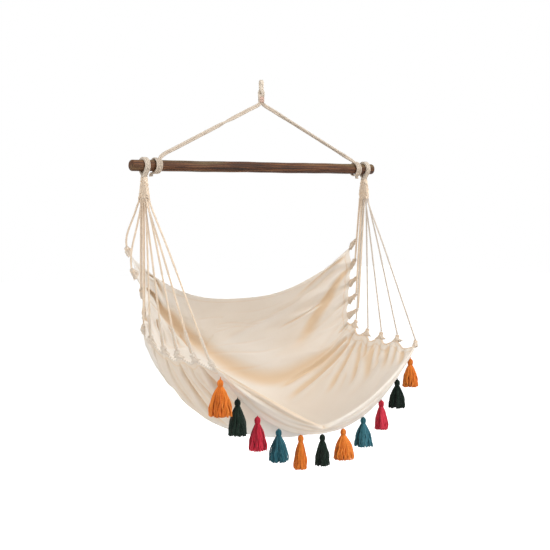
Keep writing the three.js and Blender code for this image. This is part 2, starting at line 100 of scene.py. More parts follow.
SLACK_ASIDE_SHARE = 0.4
CLOTH_THICKNESS = 3
SEAT_SHIFT = 12
SIDE_HALF_WIDTH = 432
BACK_CORNER_DROP = 258
FRONT_CORNER_DROP = 560
BACK_SETBACK = 87
FRONT_REACH = 271
BACK_SAG_DROP = 412
SEAT_DEPTH_DROP = 825
BACK_BULGE = 194
LIP_BULGE = 38
HEM_RISE = 37
HEM_AHEAD = 9
LIP_FOLD_RADIUS = 7
SCALLOP_DEPTH = 13
PLEAT_DEPTH = 9
BACK_PLEAT_DEPTH = 4
CREASE_DEPTH = 11
FRONT_PLEAT = 4
APRON_ROLL = 2.6
HEM_BAND = 20
HEM_THICKNESS = 1.1
STITCH_DEPTH = 0.5
STITCH_INSET = 4
LEFT_EDGE_DRAW = 24
SEEN_THICKNESS = 2
TASSEL_COUNT = 11
TASSEL_LENGTH = 99
TASSEL_HEAD_DIAMETER = 19
TASSEL_NECK_DIAMETER = 12
TASSEL_SKIRT_DIAMETER = 52
TASSEL_THREAD_DIAMETER = 3
TASSEL_THREAD_LENGTH = 5
TASSEL_THREAD_GAIN = 6
HEAD_TIP = 1.2
HEAD_YARN = 1.3
BINDING_YARN = 0.95
HEAD_YARNS = 28
BINDING_TURNS = 4
LOCKS = 13
LOCK_YARNS = 12
CLEARANCE = 0.3

# Distance between two threads of the weave, in metres, as the materials measure
THREAD_PITCH = 0.0016

ARM_SPREAD = BAR_LENGTH / 2 - ARM_INSET
HITCH_SPREAD = ARM_SPREAD - HITCH_INSET
HEM_CENTRE_DROP = SEAT_DEPTH_DROP - HEM_RISE
BAR_RADIUS = BAR_DIAMETER / 2
ROPE_RADIUS = HANGER_DIAMETER / 2

SIDE_WIDTH = [1, 0.986, 0.972, 0.958, 0.944, 0.92, 0.912, 0.906, 0.9, 0.894]
SIDE_FORWARD = [0, 0.011, 0.02, 0.029, 0.043, 0.161, 0.342, 0.538, 0.758, 1]
SIDE_DROP = [0, 0.215, 0.412, 0.6, 0.766, 0.868, 0.947, 0.964, 0.97, 1]
CENTRE_BULGE = [0.2, 0.64, 0.98, 1.14, 1.14, 0.88, 0.5, 0.24, 0.08, 0]
CENTRE_FORWARD = [0, 0, 0, 0.019, 0.048, 0.124, 0.286, 0.524, 0.79, 0.997]
CENTRE_DROP = [0, 0.157, 0.323, 0.489, 0.656, 0.81, 0.965, 1, 0.955, 0.85]
SAG_POWER = [2.4, 2.3, 2.3, 2.4, 2.5, 2.5, 2.4, 2.1, 1.7, 1.2]
TASSEL_PLACE = [0, 0.214, 0.425, 0.621, 0.8, 0.95]
TASSEL_COLOURS = [
    "orange", "green", "red", "teal", "orange", "green", "orange", "teal", "red", "green", "orange",
]
TASSEL_WIDTHS = [1.22, 1.06, 1, 1.1, 0.76, 0.9, 1.2, 1.1, 0.84, 1, 0.96]
TASSEL_LENGTHS = [1.13, 1.11, 1.02, 0.99, 1.04, 0.96, 0.96, 0.93, 0.95, 0.95, 0.97]
# The columns of the cloth's mesh stand closer toward the side edges
COLUMN_SPREAD = 1.35

# Length of one turn of the plies, and the stations' distance along fine and coarse strands
CORD_LAY = 19
CLEW_LAY = 17
KNOT_LAY = 15
TWINE_LAY = 5
FINE_STEP = 1.8
HANGER_STEP = 2.5
CORD_STEP = 2.6

# Painted shade: how much darker the colour is in the grooves of a rope; and how much the tone differs from
# its first ply to its last
GROOVE_PAINTED_SHADE = 0.25
PLY_TONE_SPREAD = 0.12


# Numbers and curves


def mix(a, b, t):
    return a + (b - a) * t


def smooth_step(low, high, value):
    t = np.clip((value - low) / (high - low), 0, 1)
    return t * t * (3 - 2 * t)


def bell(x, width):
    return np.exp(-((x / width) ** 2))


def value_along(values, t):
    """Smooth value at t, from 0 to 1, through evenly spaced values."""
    values = np.asarray(values, float)
    last = len(values) - 1
    place = np.clip(t, 0, 1) * last
    index = np.minimum(np.floor(place).astype(int), last - 1)
    f = place - index
    a, b = values[index], values[index + 1]
    slope_a = (b - values[np.maximum(index - 1, 0)]) / 2
    slope_b = (values[np.minimum(index + 2, last)] - a) / 2
    return (
        (2 * f**3 - 3 * f**2 + 1) * a
        + (f**3 - 2 * f**2 + f) * slope_a
        + (3 * f**2 - 2 * f**3) * b
        + (f**3 - f**2) * slope_b
    )


def value_between(t, stops):
    """Value at t on straight lines through the stops, whose keys are places."""
    return np.interp(t, list(stops), list(stops.values()))


def turned(radius, turn, z):
    """Points at a radius and an angle round the upright axis."""
    return np.stack([radius * np.cos(turn), radius * np.sin(turn), z], axis=-1)


def unit(v):
    return v / np.maximum(np.linalg.norm(v, axis=-1, keepdims=True), 1e-12)


def distance_along(path):
    return np.concatenate([[0], np.cumsum(np.linalg.norm(np.diff(path, axis=0), axis=1))])


def around(sides):
    """Angles of the points of a ring."""
    return 2 * np.pi * np.arange(sides) / sides


def between(u, t, first, last, a, b):
    """Mix of a and b as u runs from knot first to knot last of t."""
    return ((t[last] - u) * a + (u - t[first]) * b) / (t[last] - t[first])


def smooth_path(points, step):
    """A smooth line through points, with stations about step apart."""
    points = np.asarray(points, float)
    ends = [2 * points[0] - points[1]], [2 * points[-1] - points[-2]]
    p = np.concatenate([ends[0], points, ends[1]])
    gaps = np.maximum(np.linalg.norm(np.diff(p, axis=0), axis=1) ** 0.5, 1e-6)
    t = np.concatenate([[0], np.cumsum(gaps)])
    fine = []
    for i in range(1, len(p) - 2):
        u = np.linspace(t[i], t[i + 1], 12, endpoint=False)[:, None]
        a = [between(u, t, k, k + 1, p[k], p[k + 1]) for k in (i - 1, i, i + 1)]
        b = [between(u, t, k, k + 2, a[k - i + 1], a[k - i + 2]) for k in (i - 1, i)]
        fine.append(between(u, t, i, i + 1, b[0], b[1]))
    fine = np.concatenate(fine + [p[-2:-1]])
    along = distance_along(fine)
    at = np.linspace(0, along[-1], max(3, round(along[-1] / step) + 1))
    return np.stack([np.interp(at, along, fine[:, k]) for k in range(3)], axis=1)


def frames_along(path):
    """Normal and side at each station, carried along the path without twist."""
    tangent = unit(np.gradient(path, axis=0))
    start = np.array([0.0, 0, 1]) if abs(tangent[0][2]) < 0.9 else np.array([0.0, 1, 0])
    normal = np.zeros_like(path)
    normal[0] = unit(np.cross(tangent[0], start))
    for i in range(1, len(path)):
        normal[i] = unit(normal[i - 1] - tangent[i] * (normal[i - 1] @ tangent[i]))
    return normal, np.cross(tangent, normal)


# Meshes: parts are joined into one mesh with a fibre coordinate and a tone at each point


class Parts:
    def __init__(self):
        self.points, self.quads, self.tris, self.fibre, self.tone = [], [], [], [], []
        self.count = 0

    def add(self, points, quads, tris, fibre, tone):
        self.points.append(points)
        self.quads.append(np.asarray(quads, int).reshape(-1, 4) + self.count)
        self.tris.append(np.asarray(tris, int).reshape(-1, 3) + self.count)
        self.fibre.append(fibre)
        self.tone.append(tone)
        self.count += len(points)

    def rings(self, points, fibre, tone):
        """Closed surface through rings of points, rows by sides, each end closed round its middle."""
        rows, sides = points.shape[:2]
        row = np.arange(rows - 1)[:, None] * sides
        here = np.arange(sides)
        after = (here + 1) % sides
        quads = np.stack([row + here, row + after, row + after + sides, row + here + sides], axis=-1)
        low, last = np.full(sides, rows * sides), (rows - 1) * sides
        low_end = np.stack([low, after, here], axis=-1)
        high_end = np.stack([low + 1, last + here, last + after], axis=-1)
        tone = np.broadcast_to(tone, (rows, sides))[..., None]
        points, fibre, tone = (
            np.concatenate([v.reshape(rows * sides, -1), v[:1].mean(axis=1), v[-1:].mean(axis=1)])
            for v in (points, fibre, tone)
        )
        self.add(points, quads, np.concatenate([low_end, high_end]), fibre, tone.ravel())

    def tube(self, path, radius, sides, twist=0.0, tone=0.5, flat=1.0, lobes=0, lobe_depth=0.0):
        """Closed tube. twist turns the fibres, in radians for each millimetre; lobes give a plied yarn."""
        path = np.asarray(path, float)
        normal, side = frames_along(path)
        run = distance_along(path)[:, None]
        angle = around(sides)
        radius, flat, tone = (np.broadcast_to(v, len(path))[:, None] for v in (radius, flat, tone))
        reach = radius * (1 + lobe_depth * np.cos(lobes * (angle - twist * run)))
        points = (
            path[:, None]
            + (reach * np.cos(angle))[..., None] * normal[:, None]
            + (reach * flat * np.sin(angle))[..., None] * side[:, None]
        )
        turn = angle + twist * run
        fibre = np.stack([run + 0 * turn, radius * np.cos(turn), radius * np.sin(turn)], axis=-1)
        self.rings(points, fibre, tone)

    def rope(self, path, diameter, plies, pitch, sides, phase=0.0, tone=0.5, fullness=1.06):
        """Plies laid round each other along a path."""
        ply = diameter / 2 / (1 + 1 / math.sin(math.pi / plies))
        offset = diameter / 2 - ply
        normal, side = frames_along(path)
        run = distance_along(path)
        for k in range(plies):
            turn = phase + 2 * np.pi * (k / plies + run / pitch)
            strand = path + offset * (np.cos(turn)[:, None] * normal + np.sin(turn)[:, None] * side)
            shade = tone + PLY_TONE_SPREAD * (k / (plies - 1) - 0.5)
            self.tube(strand, ply * fullness, sides, twist=-2 * np.pi / (pitch * 0.8), tone=shade)
            # Painted shade: the tone falls near the rope's axis, in the grooves between the plies
            rings = self.points[-1][:-2].reshape(len(path), sides, 3)
            off_axis = np.linalg.norm(rings - path[:, None], axis=-1) / (diameter / 2)
            groove_shade = np.append((1 - smooth_step(0.5, 0.98, off_axis)).ravel(), [0.0, 0.0])
            self.tone[-1] = self.tone[-1] - GROOVE_PAINTED_SHADE * groove_shade

    def piece(self, name, material, body, replaced=()):
        points = np.concatenate(self.points) * MM - [0, 0, EYE_RISE * MM]
        quads, tris = np.concatenate(self.quads), np.concatenate(self.tris)
        mesh = bpy.data.meshes.new(name)
        mesh.vertices.add(len(points))
        mesh.vertices.foreach_set("co", points.astype(np.float32).ravel())
        loops = np.concatenate([quads.ravel(), tris.ravel()]).astype(np.int32)
        sizes = np.concatenate([np.full(len(quads), 4), np.full(len(tris), 3)])
        starts = np.concatenate([[0], np.cumsum(sizes)[:-1]]).astype(np.int32)
        mesh.loops.add(len(loops))
        mesh.loops.foreach_set("vertex_index", loops)
        mesh.polygons.add(len(sizes))
        mesh.polygons.foreach_set("loop_start", starts)
        mesh.update(calc_edges=True)
        mesh.polygons.foreach_set("use_smooth", np.ones(len(sizes), bool))
        fibre = mesh.attributes.new("fibre", "FLOAT_VECTOR", "POINT")
        fibre.data.foreach_set("vector", (np.concatenate(self.fibre) * MM).astype(np.float32).ravel())
        tone = mesh.attributes.new("tone", "FLOAT", "POINT")
        tone.data.foreach_set("value", np.concatenate(self.tone).astype(np.float32))
        mesh.materials.append(material)
        mesh.validate()
        obj = placed(name, mesh)
        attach(obj, body)
        if replaced:
            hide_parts(*replaced)
        return obj


def placed(name, data):
    obj = bpy.data.objects.new(name, data)
    bpy.context.scene.collection.objects.link(obj)
    return obj


def facing(place, ahead, right):
    """Matrix of a camera or a lamp that looks ahead."""
    turn = np.stack([right, np.cross(right, ahead), -ahead], axis=1)
    return Matrix.Translation(place) @ Matrix(turn.tolist()).to_4x4()


def side_name(side, what):
    return f"{'left' if side < 0 else 'right'}_{what}"


def tie_name(side, what, index):
    return side_name(side, f"{what}_{index + 1:02d}")


# Materials


def srgb(*colour):
    """Linear colour of 0 to 255 screen values."""
    linear = [c / 255 / 12.92 if c <= 10 else ((c / 255 + 0.055) / 1.055) ** 2.4 for c in colour]
    return (*linear, 1)


class Nodes:
    """A node tree whose nodes are added by short calls."""

    def __init__(self, owner):
        owner.use_nodes = True
        self.tree = owner.node_tree
        self.tree.nodes.clear()

    def node(self, kind, **inputs):
        node = self.tree.nodes.new(kind)
        for key, value in inputs.items():
            self.feed(node, key, value)
        return node

    def feed(self, node, key, value):
        """Sets or links the input called key, or the one whose number follows an i."""
        place = node.inputs[int(key[1:]) if key[1:].isdigit() else key]
        if isinstance(value, bpy.types.NodeSocket):
            self.tree.links.new(value, place)
        else:
            place.default_value = value

    def attribute(self, name, output):
        node = self.node("ShaderNodeAttribute")
        node.attribute_name = name
        return node.outputs[output]

    def object_place(self):
        return self.node("ShaderNodeTexCoord").outputs["Object"]

    def noise(self, place, stretch, scale=1.0, detail=3.0, roughness=0.55, distortion=0.0):
        if stretch is not None:
            place = self.node("ShaderNodeMapping", Vector=place, Scale=stretch).outputs[0]
        look = {"Scale": scale, "Detail": detail, "Roughness": roughness, "Distortion": distortion}
        return self.node("ShaderNodeTexNoise", Vector=place, **look).outputs["Fac"]

    def math(self, operation, *values):
        node = self.node("ShaderNodeMath")
        node.operation = operation
        for number, value in enumerate(values):
            self.feed(node, f"i{number}", value)
        return node.outputs[0]

    def weighed(self, *pairs):
        """Sum of values, each times its weight."""
        total = self.math("MULTIPLY", *pairs[0])
        for value, weight in pairs[1:]:
            total = self.math("ADD", total, self.math("MULTIPLY", value, weight))
        return total

    def ramp(self, value, *stops):
        node = self.node("ShaderNodeValToRGB", Fac=value)
        elements = node.color_ramp.elements
        elements[0].position, elements[0].color = stops[0]
        elements[1].position, elements[1].color = stops[-1]
        for place, colour in stops[1:-1]:
            elements.new(place).color = colour
        return node.outputs[0]

    def blend(self, share, a, b):
        node = self.node("ShaderNodeMix")
        node.data_type = "RGBA"
        for key, value in (("Factor", share), ("i6", a), ("i7", b)):
            self.feed(node, key, value)
        return node.outputs[2]

    def bump(self, height, strength, distance, **before):
        inputs = {"Height": height, "Strength": strength, "Distance": distance, **before}
        return self.node("ShaderNodeBump", **inputs).outputs[0]

    def seen(self):
        """1 for what the camera or a glossy surface sees."""
        path = self.node("ShaderNodeLightPath").outputs
        return self.math("MAXIMUM", path["Is Camera Ray"], path["Is Glossy Ray"])


class Finish(Nodes):
    """A material."""

    def __init__(self, name):
        self.material = bpy.data.materials.new(name)
        super().__init__(self.material)
        self.shader = self.node("ShaderNodeBsdfPrincipled")
        self.node("ShaderNodeOutputMaterial", Surface=self.shader.outputs[0])

    def look(self, colour, roughness, specular, sheen=0.0, **more):
        inputs = {"Base Color": colour, "Roughness": roughness, "Specular IOR Level": specular}
        for key, value in {**inputs, "Sheen Weight": sheen, **more}.items():
            self.feed(self.shader, key, value)
        return self.material


def cotton_rope(name, light, dark, grain=0.45, relief=0.6, run=220, fine=1500):
    """Plied cotton: fibres along each ply, a darker colour where the tone is low, which carries painted
    shade in the grooves between plies, and a soft sheen.
    """
    f = Finish(name)
    threads = f.noise(f.attribute("fibre", "Vector"), (run, fine, fine))
    patches = f.noise(f.object_place(), None, 38)
    shade = f.weighed((threads, grain), (patches, 0.35), (f.attribute("tone", "Fac"), 0.4))
    colour = f.ramp(shade, (0.3, srgb(*dark)), (0.75, srgb(*light)))
    rough = f.math("MULTIPLY_ADD", threads, 0.12, 0.84)
    return f.look(colour, rough, 0.2, 0.25, Normal=f.bump(threads, relief, 0.0006))


def yarn(name, light, middle, dark):
    """Dyed tassel yarn: strands darker or lighter by their tone, which differs at random and carries
    painted shade on the inner yarns, and fuzzy fibres.
    """
    f = Finish(name)
    threads = f.noise(f.attribute("fibre", "Vector"), (260, 1400, 1400))
    patches = f.noise(f.object_place(), None, 60, 2)
    shade = f.weighed((threads, 0.35), (patches, 0.25), (f.attribute("tone", "Fac"), 0.5))
    colour = f.ramp(shade, (0.25, srgb(*dark)), (0.5, srgb(*middle)), (0.8, srgb(*light)))
    rough = f.math("MULTIPLY_ADD", threads, 0.15, 0.78)
    soft = {"Sheen Roughness": 0.45, "Normal": f.bump(threads, 0.7, 0.0008)}
    return f.look(colour, rough, 0.15, 0.15, **soft)


def canvas(name, light, painted_fold_shade, shade):
    """Undyed cotton cloth: plain weave with slubs, and a warmer, darker painted shade in the folds, blended
    in by the tone.
    """
    f = Finish(name)
    place = f.attribute("fibre", "Vector")
    parts = f.node("ShaderNodeSeparateXYZ", Vector=place).outputs
    count = 2 * math.pi / THREAD_PITCH
    across, along = (f.math("SINE", f.math("MULTIPLY", parts[k], count)) for k in range(2))
    weave = f.math("MULTIPLY_ADD", f.math("MULTIPLY", across, along), 0.5, 0.5)
    warp_slub = f.noise(place, (900, 22, 1), detail=2)
    weft_slub = f.noise(place, (22, 900, 1), detail=2)
    slub = f.weighed((warp_slub, 0.5), (weft_slub, 0.5))
    grade = f.weighed((slub, 0.4), (f.noise(f.object_place(), None, 7, 4), 0.45))
    ground = f.ramp(grade, (0.28, srgb(*shade)), (0.58, srgb(*light)))
    colour = f.blend(f.attribute("tone", "Fac"), ground, srgb(*painted_fold_shade))
    rough = f.math("MULTIPLY_ADD", slub, 0.1, 0.86)
    fine = f.bump(weave, 0.35, 0.0003)
    return f.look(colour, rough, 0.2, 0.2, Normal=f.bump(slub, 0.5, 0.0008, Normal=fine))


def stained_wood(name):
    """Dark stained round wood: streaks along the bar, pores, and paler rubbed ends."""
    f = Finish(name)
    place = f.object_place()
    streaks = f.noise(place, (5, 190, 190), 1.0, 6, 0.65, 0.6)
    broad = f.noise(place, (3.2, 38, 38), 1.0, 3, 0.5, 0.4)
    pores = f.noise(place, (40, 900, 900), detail=2)
    grain = f.weighed((streaks, 0.7), (broad, 0.3))
    browns = [(0.38, (34, 20, 12)), (0.46, (74, 44, 27)), (0.53, (104, 67, 42)), (0.62, (140, 102, 70))]
    brown = f.ramp(grain, *((at, srgb(*colour)) for at, colour in browns))
    grey = f.ramp(grain, (0.38, srgb(48, 38, 26)), (0.62, srgb(120, 104, 74)))
    grey_share = f.ramp(broad, (0.45, (0, 0, 0, 1)), (0.62, (0.75, 0.75, 0.75, 1)))
    pore_share = f.ramp(pores, (0.3, (0.5, 0.5, 0.5, 1)), (0.42, (0, 0, 0, 1)))
    pitted = f.blend(pore_share, f.blend(grey_share, brown, grey), srgb(40, 28, 24))
    rubbed = f.math("MULTIPLY", f.attribute("tone", "Fac"), f.math("MULTIPLY_ADD", streaks, 0.9, 0.2))
    colour = f.blend(rubbed, pitted, srgb(100, 70, 48))
    rough = f.math("MULTIPLY_ADD", streaks, 0.25, 0.46)
    ridges = f.bump(streaks, 0.35, 0.0012)
    return f.look(colour, rough, 0.22, Normal=f.bump(pores, 0.3, 0.0005, Normal=ridges))


ROPE = cotton_rope("rope_cotton", (242, 224, 202), (208, 182, 154))
ROPE_GREY = cotton_rope("thin_rope_cotton", (222, 210, 196), (178, 162, 146))
ROPE_SMOOTH = cotton_rope("smooth_rope_cotton", (226, 213, 196), (188, 171, 153), 0.3, 0.1, 6, 420)
ROPE_PALE = cotton_rope("knot_cotton", (240, 230, 217), (188, 168, 146))
ROPE_TIGHT = cotton_rope("whipping_cotton", (234, 204, 188), (200, 162, 144))
# The middle colour of each canvas is the painted shade of its folds
CLOTH = canvas("seat_canvas", (243, 239, 233), (230, 205, 174), (237, 231, 223))
# A darker, warmer copy of the seat canvas: painted shade of the gathered cloth
SHADED_TAB_CLOTH = canvas("tab_canvas", (234, 224, 212), (212, 188, 160), (220, 206, 190))
WOOD = stained_wood("stained_wood")
YARNS = {
    "orange": yarn("yarn_orange", (246, 152, 66), (226, 122, 44), (164, 76, 24)),
    "green": yarn("yarn_green", (29, 49, 38), (14, 28, 21), (6, 13, 10)),
    "red": yarn("yarn_red", (224, 68, 88), (200, 42, 62), (122, 18, 36)),
    "teal": yarn("yarn_teal", (76, 134, 148), (40, 95, 107), (16, 46, 54)),
}


# Camera, fitted to the photograph


def place_camera():
    data = bpy.data.cameras.new("camera")
    data.lens, data.sensor_width = 85.08, 36
    camera = placed("camera", data)
    yaw, pitch = 0.67161, 0.061623
    ahead = np.array([math.sin(yaw) * math.cos(pitch), math.cos(yaw) * math.cos(pitch), -math.sin(pitch)])
    camera.matrix_world = facing((-2.4643, -3.1679, -0.3442), ahead, [math.cos(yaw), -math.sin(yaw), 0])
    bpy.context.scene.camera = camera


place_camera()


# Cloth surface


def side_point(s):
    x = SIDE_HALF_WIDTH * value_along(SIDE_WIDTH, s)
    y = BACK_SETBACK - (BACK_SETBACK + FRONT_REACH) * value_along(SIDE_FORWARD, s)
    z = -BACK_CORNER_DROP - (FRONT_CORNER_DROP - BACK_CORNER_DROP) * value_along(SIDE_DROP, s)
    return x, y, z


def centre_point(s):
    forward = (BACK_SETBACK + FRONT_REACH) * value_along(CENTRE_FORWARD, s)
    y = BACK_SETBACK + BACK_BULGE * value_along(CENTRE_BULGE, s) - forward
    z = -BACK_SAG_DROP - (SEAT_DEPTH_DROP - BACK_SAG_DROP) * value_along(CENTRE_DROP, s)
    return y, z


def sheet_point(u, s):
    """The cloth's inner face, as in the part's source. u runs -1 to 1 across, s 0 to 1 from back to lip."""
    u, s = np.asarray(u, float), np.asarray(s, float)
    side_x, side_y, side_z = side_point(s)
    centre_y, centre_z = centre_point(s)
    across = np.abs(u)
    sag = 1 - across ** value_along(SAG_POWER, s)
    tie_phase = s * (TIES - 1)
    midway = (1 - np.cos(2 * np.pi * tie_phase)) / 2
    upright = 1 - smooth_step(0.35, 0.75, s)
    edge = smooth_step(mix(0.4, 0.6, upright), 1, across)
    depth = mix(PLEAT_DEPTH, BACK_PLEAT_DEPTH, upright)
    front_ease = 1 - smooth_step(0.9, 1, s)
    scallop = SCALLOP_DEPTH * midway * across**10
    pleat = depth * edge * (1 - across**6) * np.cos(2 * np.pi * tie_phase) * front_ease
    crease_line = across - (0.1 + 0.9 * (1 - smooth_step(0, 0.3, s)))
    crease = CREASE_DEPTH * bell(crease_line, 0.12) * (1 - smooth_step(0.2, 0.35, s))
    lip = LIP_BULGE * np.sin(np.pi * across**0.8) * smooth_step(0.75, 1, s)
    x = SEAT_SHIFT + np.sign(u) * (side_x * across - scallop * (1 - 0.5 * upright))
    y = mix(side_y, centre_y, np.maximum(sag, 0) ** 1.3) - lip + (pleat + crease) * upright
    z = mix(side_z, centre_z, sag) + pleat * (1 - upright) - scallop * (1 - upright)
    return np.stack([x, y, z], axis=-1)


def hem_point(u):
    corner_x, corner_y, corner_z = side_point(1.0)
    across = np.abs(u)
    y = mix(corner_y, centre_point(1.0)[0] - HEM_AHEAD, 1 - across**2)
    z = mix(corner_z, -HEM_CENTRE_DROP, 1 - across**2.2)
    return np.stack([SEAT_SHIFT + corner_x * u, y, z], axis=-1)


def apron_point(u, share):
    """Outside of the lip, from the fold at share 0 to the hem at share 1."""
    lip, hem = sheet_point(u, 1.0), hem_point(u)
    opening = 1 - np.abs(u) ** 8
    over = LIP_FOLD_RADIUS * np.sin(np.pi * np.minimum(1, share * 1.4)) * opening
    point = mix(lip, hem, share)
    point[..., 1] -= over + CLOTH_THICKNESS * 2 * opening * (1 - share)
    point[..., 2] = mix(lip[..., 2], hem[..., 2] - CLOTH_THICKNESS * (1 - opening), share)
    return point


# Ties: cords and the gathered tabs that they hold


def tie_points(side, index):
    s = index / (TIES - 1)
    edge = sheet_point(side, s)
    stagger = (-1) ** index * CORD_STAGGER / 2
    exit_span = CLEW_BOTTOM_WIDTH - CORD_DIAMETER
    clew_base = CLEW_TOP_DROP + CLEW_HEIGHT
    exit_point = np.array([side * (ARM_SPREAD + stagger), exit_span * (0.5 - s), -clew_base - CLEARANCE])
    loose = side < 0 and index < LOOSE_TIES
    corner_x, corner_y, corner_z = side_point(BUNDLE_TIES / (TIES - 1))
    if index < BUNDLE_TIES and not loose:
        drop = -edge[2] - BUNDLE_RISE
        along = (drop - clew_base) / (-corner_z - clew_base)
        bundle_y = mix(0, corner_y, along) + (BUNDLE_TIES - index) * BUNDLE_PITCH
        bundle_x = SEAT_SHIFT + side * (corner_x + BUNDLE_INSET + stagger)
        meet = np.array([mix(exit_point[0], bundle_x, along), bundle_y, -drop])
    else:
        pull = unit(exit_point - edge)
        outward = unit(edge - sheet_point(side * 0.95, s))
        meet = edge + unit(pull + TAB_OUTWARD_SHARE * outward) * TAB_LENGTH
    return edge, exit_point, meet, loose


def cord_route(side, index):
    edge, exit_point, meet, loose = tie_points(side, index)
    pull = unit(meet - exit_point)
    bend = np.linalg.norm(np.cross(pull, unit(meet - edge)))
    end = meet - pull * (CLEARANCE + TAB_DIAMETER / 2 * TAB_END_SHARE * bend)
    points = [exit_point, exit_point - [0, 0, CORD_DIAMETER]]
    stations = 8 if loose else 3
    for i in range(1, stations + 1):
        share = i / stations
        bow = SLACK_BOW * math.sin(math.pi * share**SLACK_LOW_POWER) if loose else 0
        point = mix(exit_point, end, share)
        points.append(point + [side * bow * SLACK_ASIDE_SHARE, bow, 0])
    return smooth_path(points, CORD_STEP), edge, meet


def make_cord(side, index):
    path, _, _ = cord_route(side, index)
    thick = side < 0 or index < BUNDLE_TIES
    seed = index * 2 + (side > 0)
    width = CORD_DIAMETER * (THICK_CORD_SHARE if thick else THIN_CORD_SHARE)
    tone = 0.6 + 0.03 * (seed % 4)
    parts = Parts()
    parts.rope(path, width, 3, CORD_LAY, 7, phase=seed * 1.3, tone=tone, fullness=1.08)
    name, replaced = tie_name(side, "twisted_cord", index), [tie_name(side, "cord", index)]
    obj = parts.piece(name, ROPE if thick else ROPE_GREY, "seat", replaced)


for side in (-1, 1):
    for index in range(TIES):
        make_cord(side, index)


# Hanger rope: two thin ropes side by side that turn slowly round each other


def hitch_points(side):
    stations = 14
    wrap = (BAR_RADIUS + CLEARANCE) / math.cos(math.pi / stations) + ROPE_RADIUS
    pitch = HANGER_DIAMETER + HITCH_TURN_GAP
    slope = (LEG_MEET_RISE - wrap) / HITCH_SPREAD
    points = []
    for share in LEG_STATION_SHARES:
        run = HITCH_SPREAD * share
        points.append([side * (HITCH_SPREAD - run), 0, wrap + run * slope])
    total = round(HITCH_TURNS * stations)
    for i in range(1, total + 1):
        turns = i / stations
        angle = 2 * math.pi * turns
        x = side * (HITCH_SPREAD - pitch / 2 + pitch * turns)
        points.append([x, -wrap * math.sin(angle), wrap * math.cos(angle)])
    x, y, z = points[-1]
    points.append([x + side * ROPE_RADIUS, y + ROPE_RADIUS, z - ROPE_RADIUS / 2])
    points.append([x + side * ROPE_RADIUS, y + ROPE_RADIUS, z - TAIL_SEEN])
    return points


def eye_points():
    bound = ROPE_RADIUS + CLEARANCE
    half = EYE_STRAND_SPREAD / 2
    whipping = WHIPPING_PITCH * WHIPPING_TURNS
    top = EYE_RISE + ROPE_RADIUS
    twist_start = LEG_MEET_RISE + whipping
    twist_height = top - twist_start - half
    eye_turn = math.pi / 2 * EYE_TURN_SHARE
    plane = math.pi - eye_turn
    points = [[-bound, 0, LEG_MEET_RISE], [-bound, 0, twist_start - whipping / 2]]
    for share in (0, 0.25, 0.55, 0.85):
        angle = math.pi - eye_turn * min(1, share * 2)
        spread = mix(bound, half, share**1.5)
        points.append(turned(spread, angle, twist_start + twist_height * share).tolist())
    for share in (0.08, 0.25):
        angle = math.pi * share
        reach, height = half * math.cos(angle), top - half + half * math.sin(angle)
        points.append(turned(reach, plane, height).tolist())
    falling = [[-x, -y, z] for x, y, z in reversed(points)]
    return points + [[0, 0, top]] + falling


def make_hanger():
    """Two strands side by side: along the bar in the hitches, one above the other on the legs."""
    route = hitch_points(-1)[::-1] + eye_points() + hitch_points(1)
    path = smooth_path(route, HANGER_STEP)
    normal, side = frames_along(path)
    left_leg = smooth_step(-HITCH_SPREAD, -LEG_TURN_INSET, path[:, 0])
    right_leg = smooth_step(0, HITCH_SPREAD, path[:, 0])
    turn = np.unwrap(np.arctan2(side[:, 0], normal[:, 0])) + np.pi * smooth_step(0.6, 0.95, left_leg)
    turn += RIGHT_LEG_TURN * (smooth_step(0, 0.2, right_leg) - smooth_step(0.9, 1, right_leg))
    in_eye = smooth_step(LEG_MEET_RISE + EYE_START, LEG_MEET_RISE + EYE_START + 10, path[:, 2])
    offset = HANGER_DIAMETER * mix(0.265, 0.29, in_eye)
    from_axis = np.linalg.norm(path[:, 1:], axis=1)
    clear_of_bar = BAR_RADIUS + HANGER_DIAMETER * np.array([0.7, 1.2])
    on_bar = 1 - smooth_step(*clear_of_bar, from_axis)
    hugged = path.copy()
    hugged[:, 1:] *= (1 - on_bar / from_axis)[:, None]
    radius = offset * mix(1.28, 1, np.maximum(in_eye, on_bar))
    parts = Parts()
    for k in range(2):
        angle = (turn + k * np.pi)[:, None]
        strand = hugged + offset[:, None] * (np.cos(angle) * normal + np.sin(angle) * side)
        # Painted light: the eye's colour is painted lighter than the legs' to offset the shade that falls
        # in it
        parts.tube(strand, radius, 24, tone=mix(0.25, 1.1, in_eye) + PLY_TONE_SPREAD * k)
    obj = parts.piece("twin_hanger_rope", ROPE_SMOOTH, "hanger", ["hanger_rope"])


make_hanger()


# Whipping of the eye


def make_whipping():
    """A twine round both legs, whose turns have two straight sides and two round ends."""
    strand = ROPE_RADIUS * 0.7
    wrap = ROPE_RADIUS * 0.86 + WHIPPING_TWINE / 2
    stations = 40
    straight, arc = 2 * strand, math.pi * wrap
    turns = round(WHIPPING_PITCH * (WHIPPING_TURNS - 1) / WHIPPING_TWINE)
    i = np.arange(stations * turns + 1)
    corners = np.cumsum([0, straight, arc, straight, arc])
    run = i % stations / stations * corners[-1]
    angle = np.interp(run, corners, np.pi * np.array([-0.5, -0.5, 0.5, 0.5, 1.5]))
    x = np.interp(run, corners, [-strand, strand, strand, -strand, -strand]) + wrap * np.cos(angle)
    z = LEG_MEET_RISE + WHIPPING_DIAMETER + WHIPPING_TWINE * i / stations
    path = np.stack([x, wrap * np.sin(angle), z], axis=-1)
    parts = Parts()
    parts.rope(path, WHIPPING_TWINE * 1.1, 2, TWINE_LAY, 6, tone=0.6, fullness=1.08)
    parts.piece("twine_whipping", ROPE_TIGHT, "hanger", ["eye_whipping"])


make_whipping()


# Bar


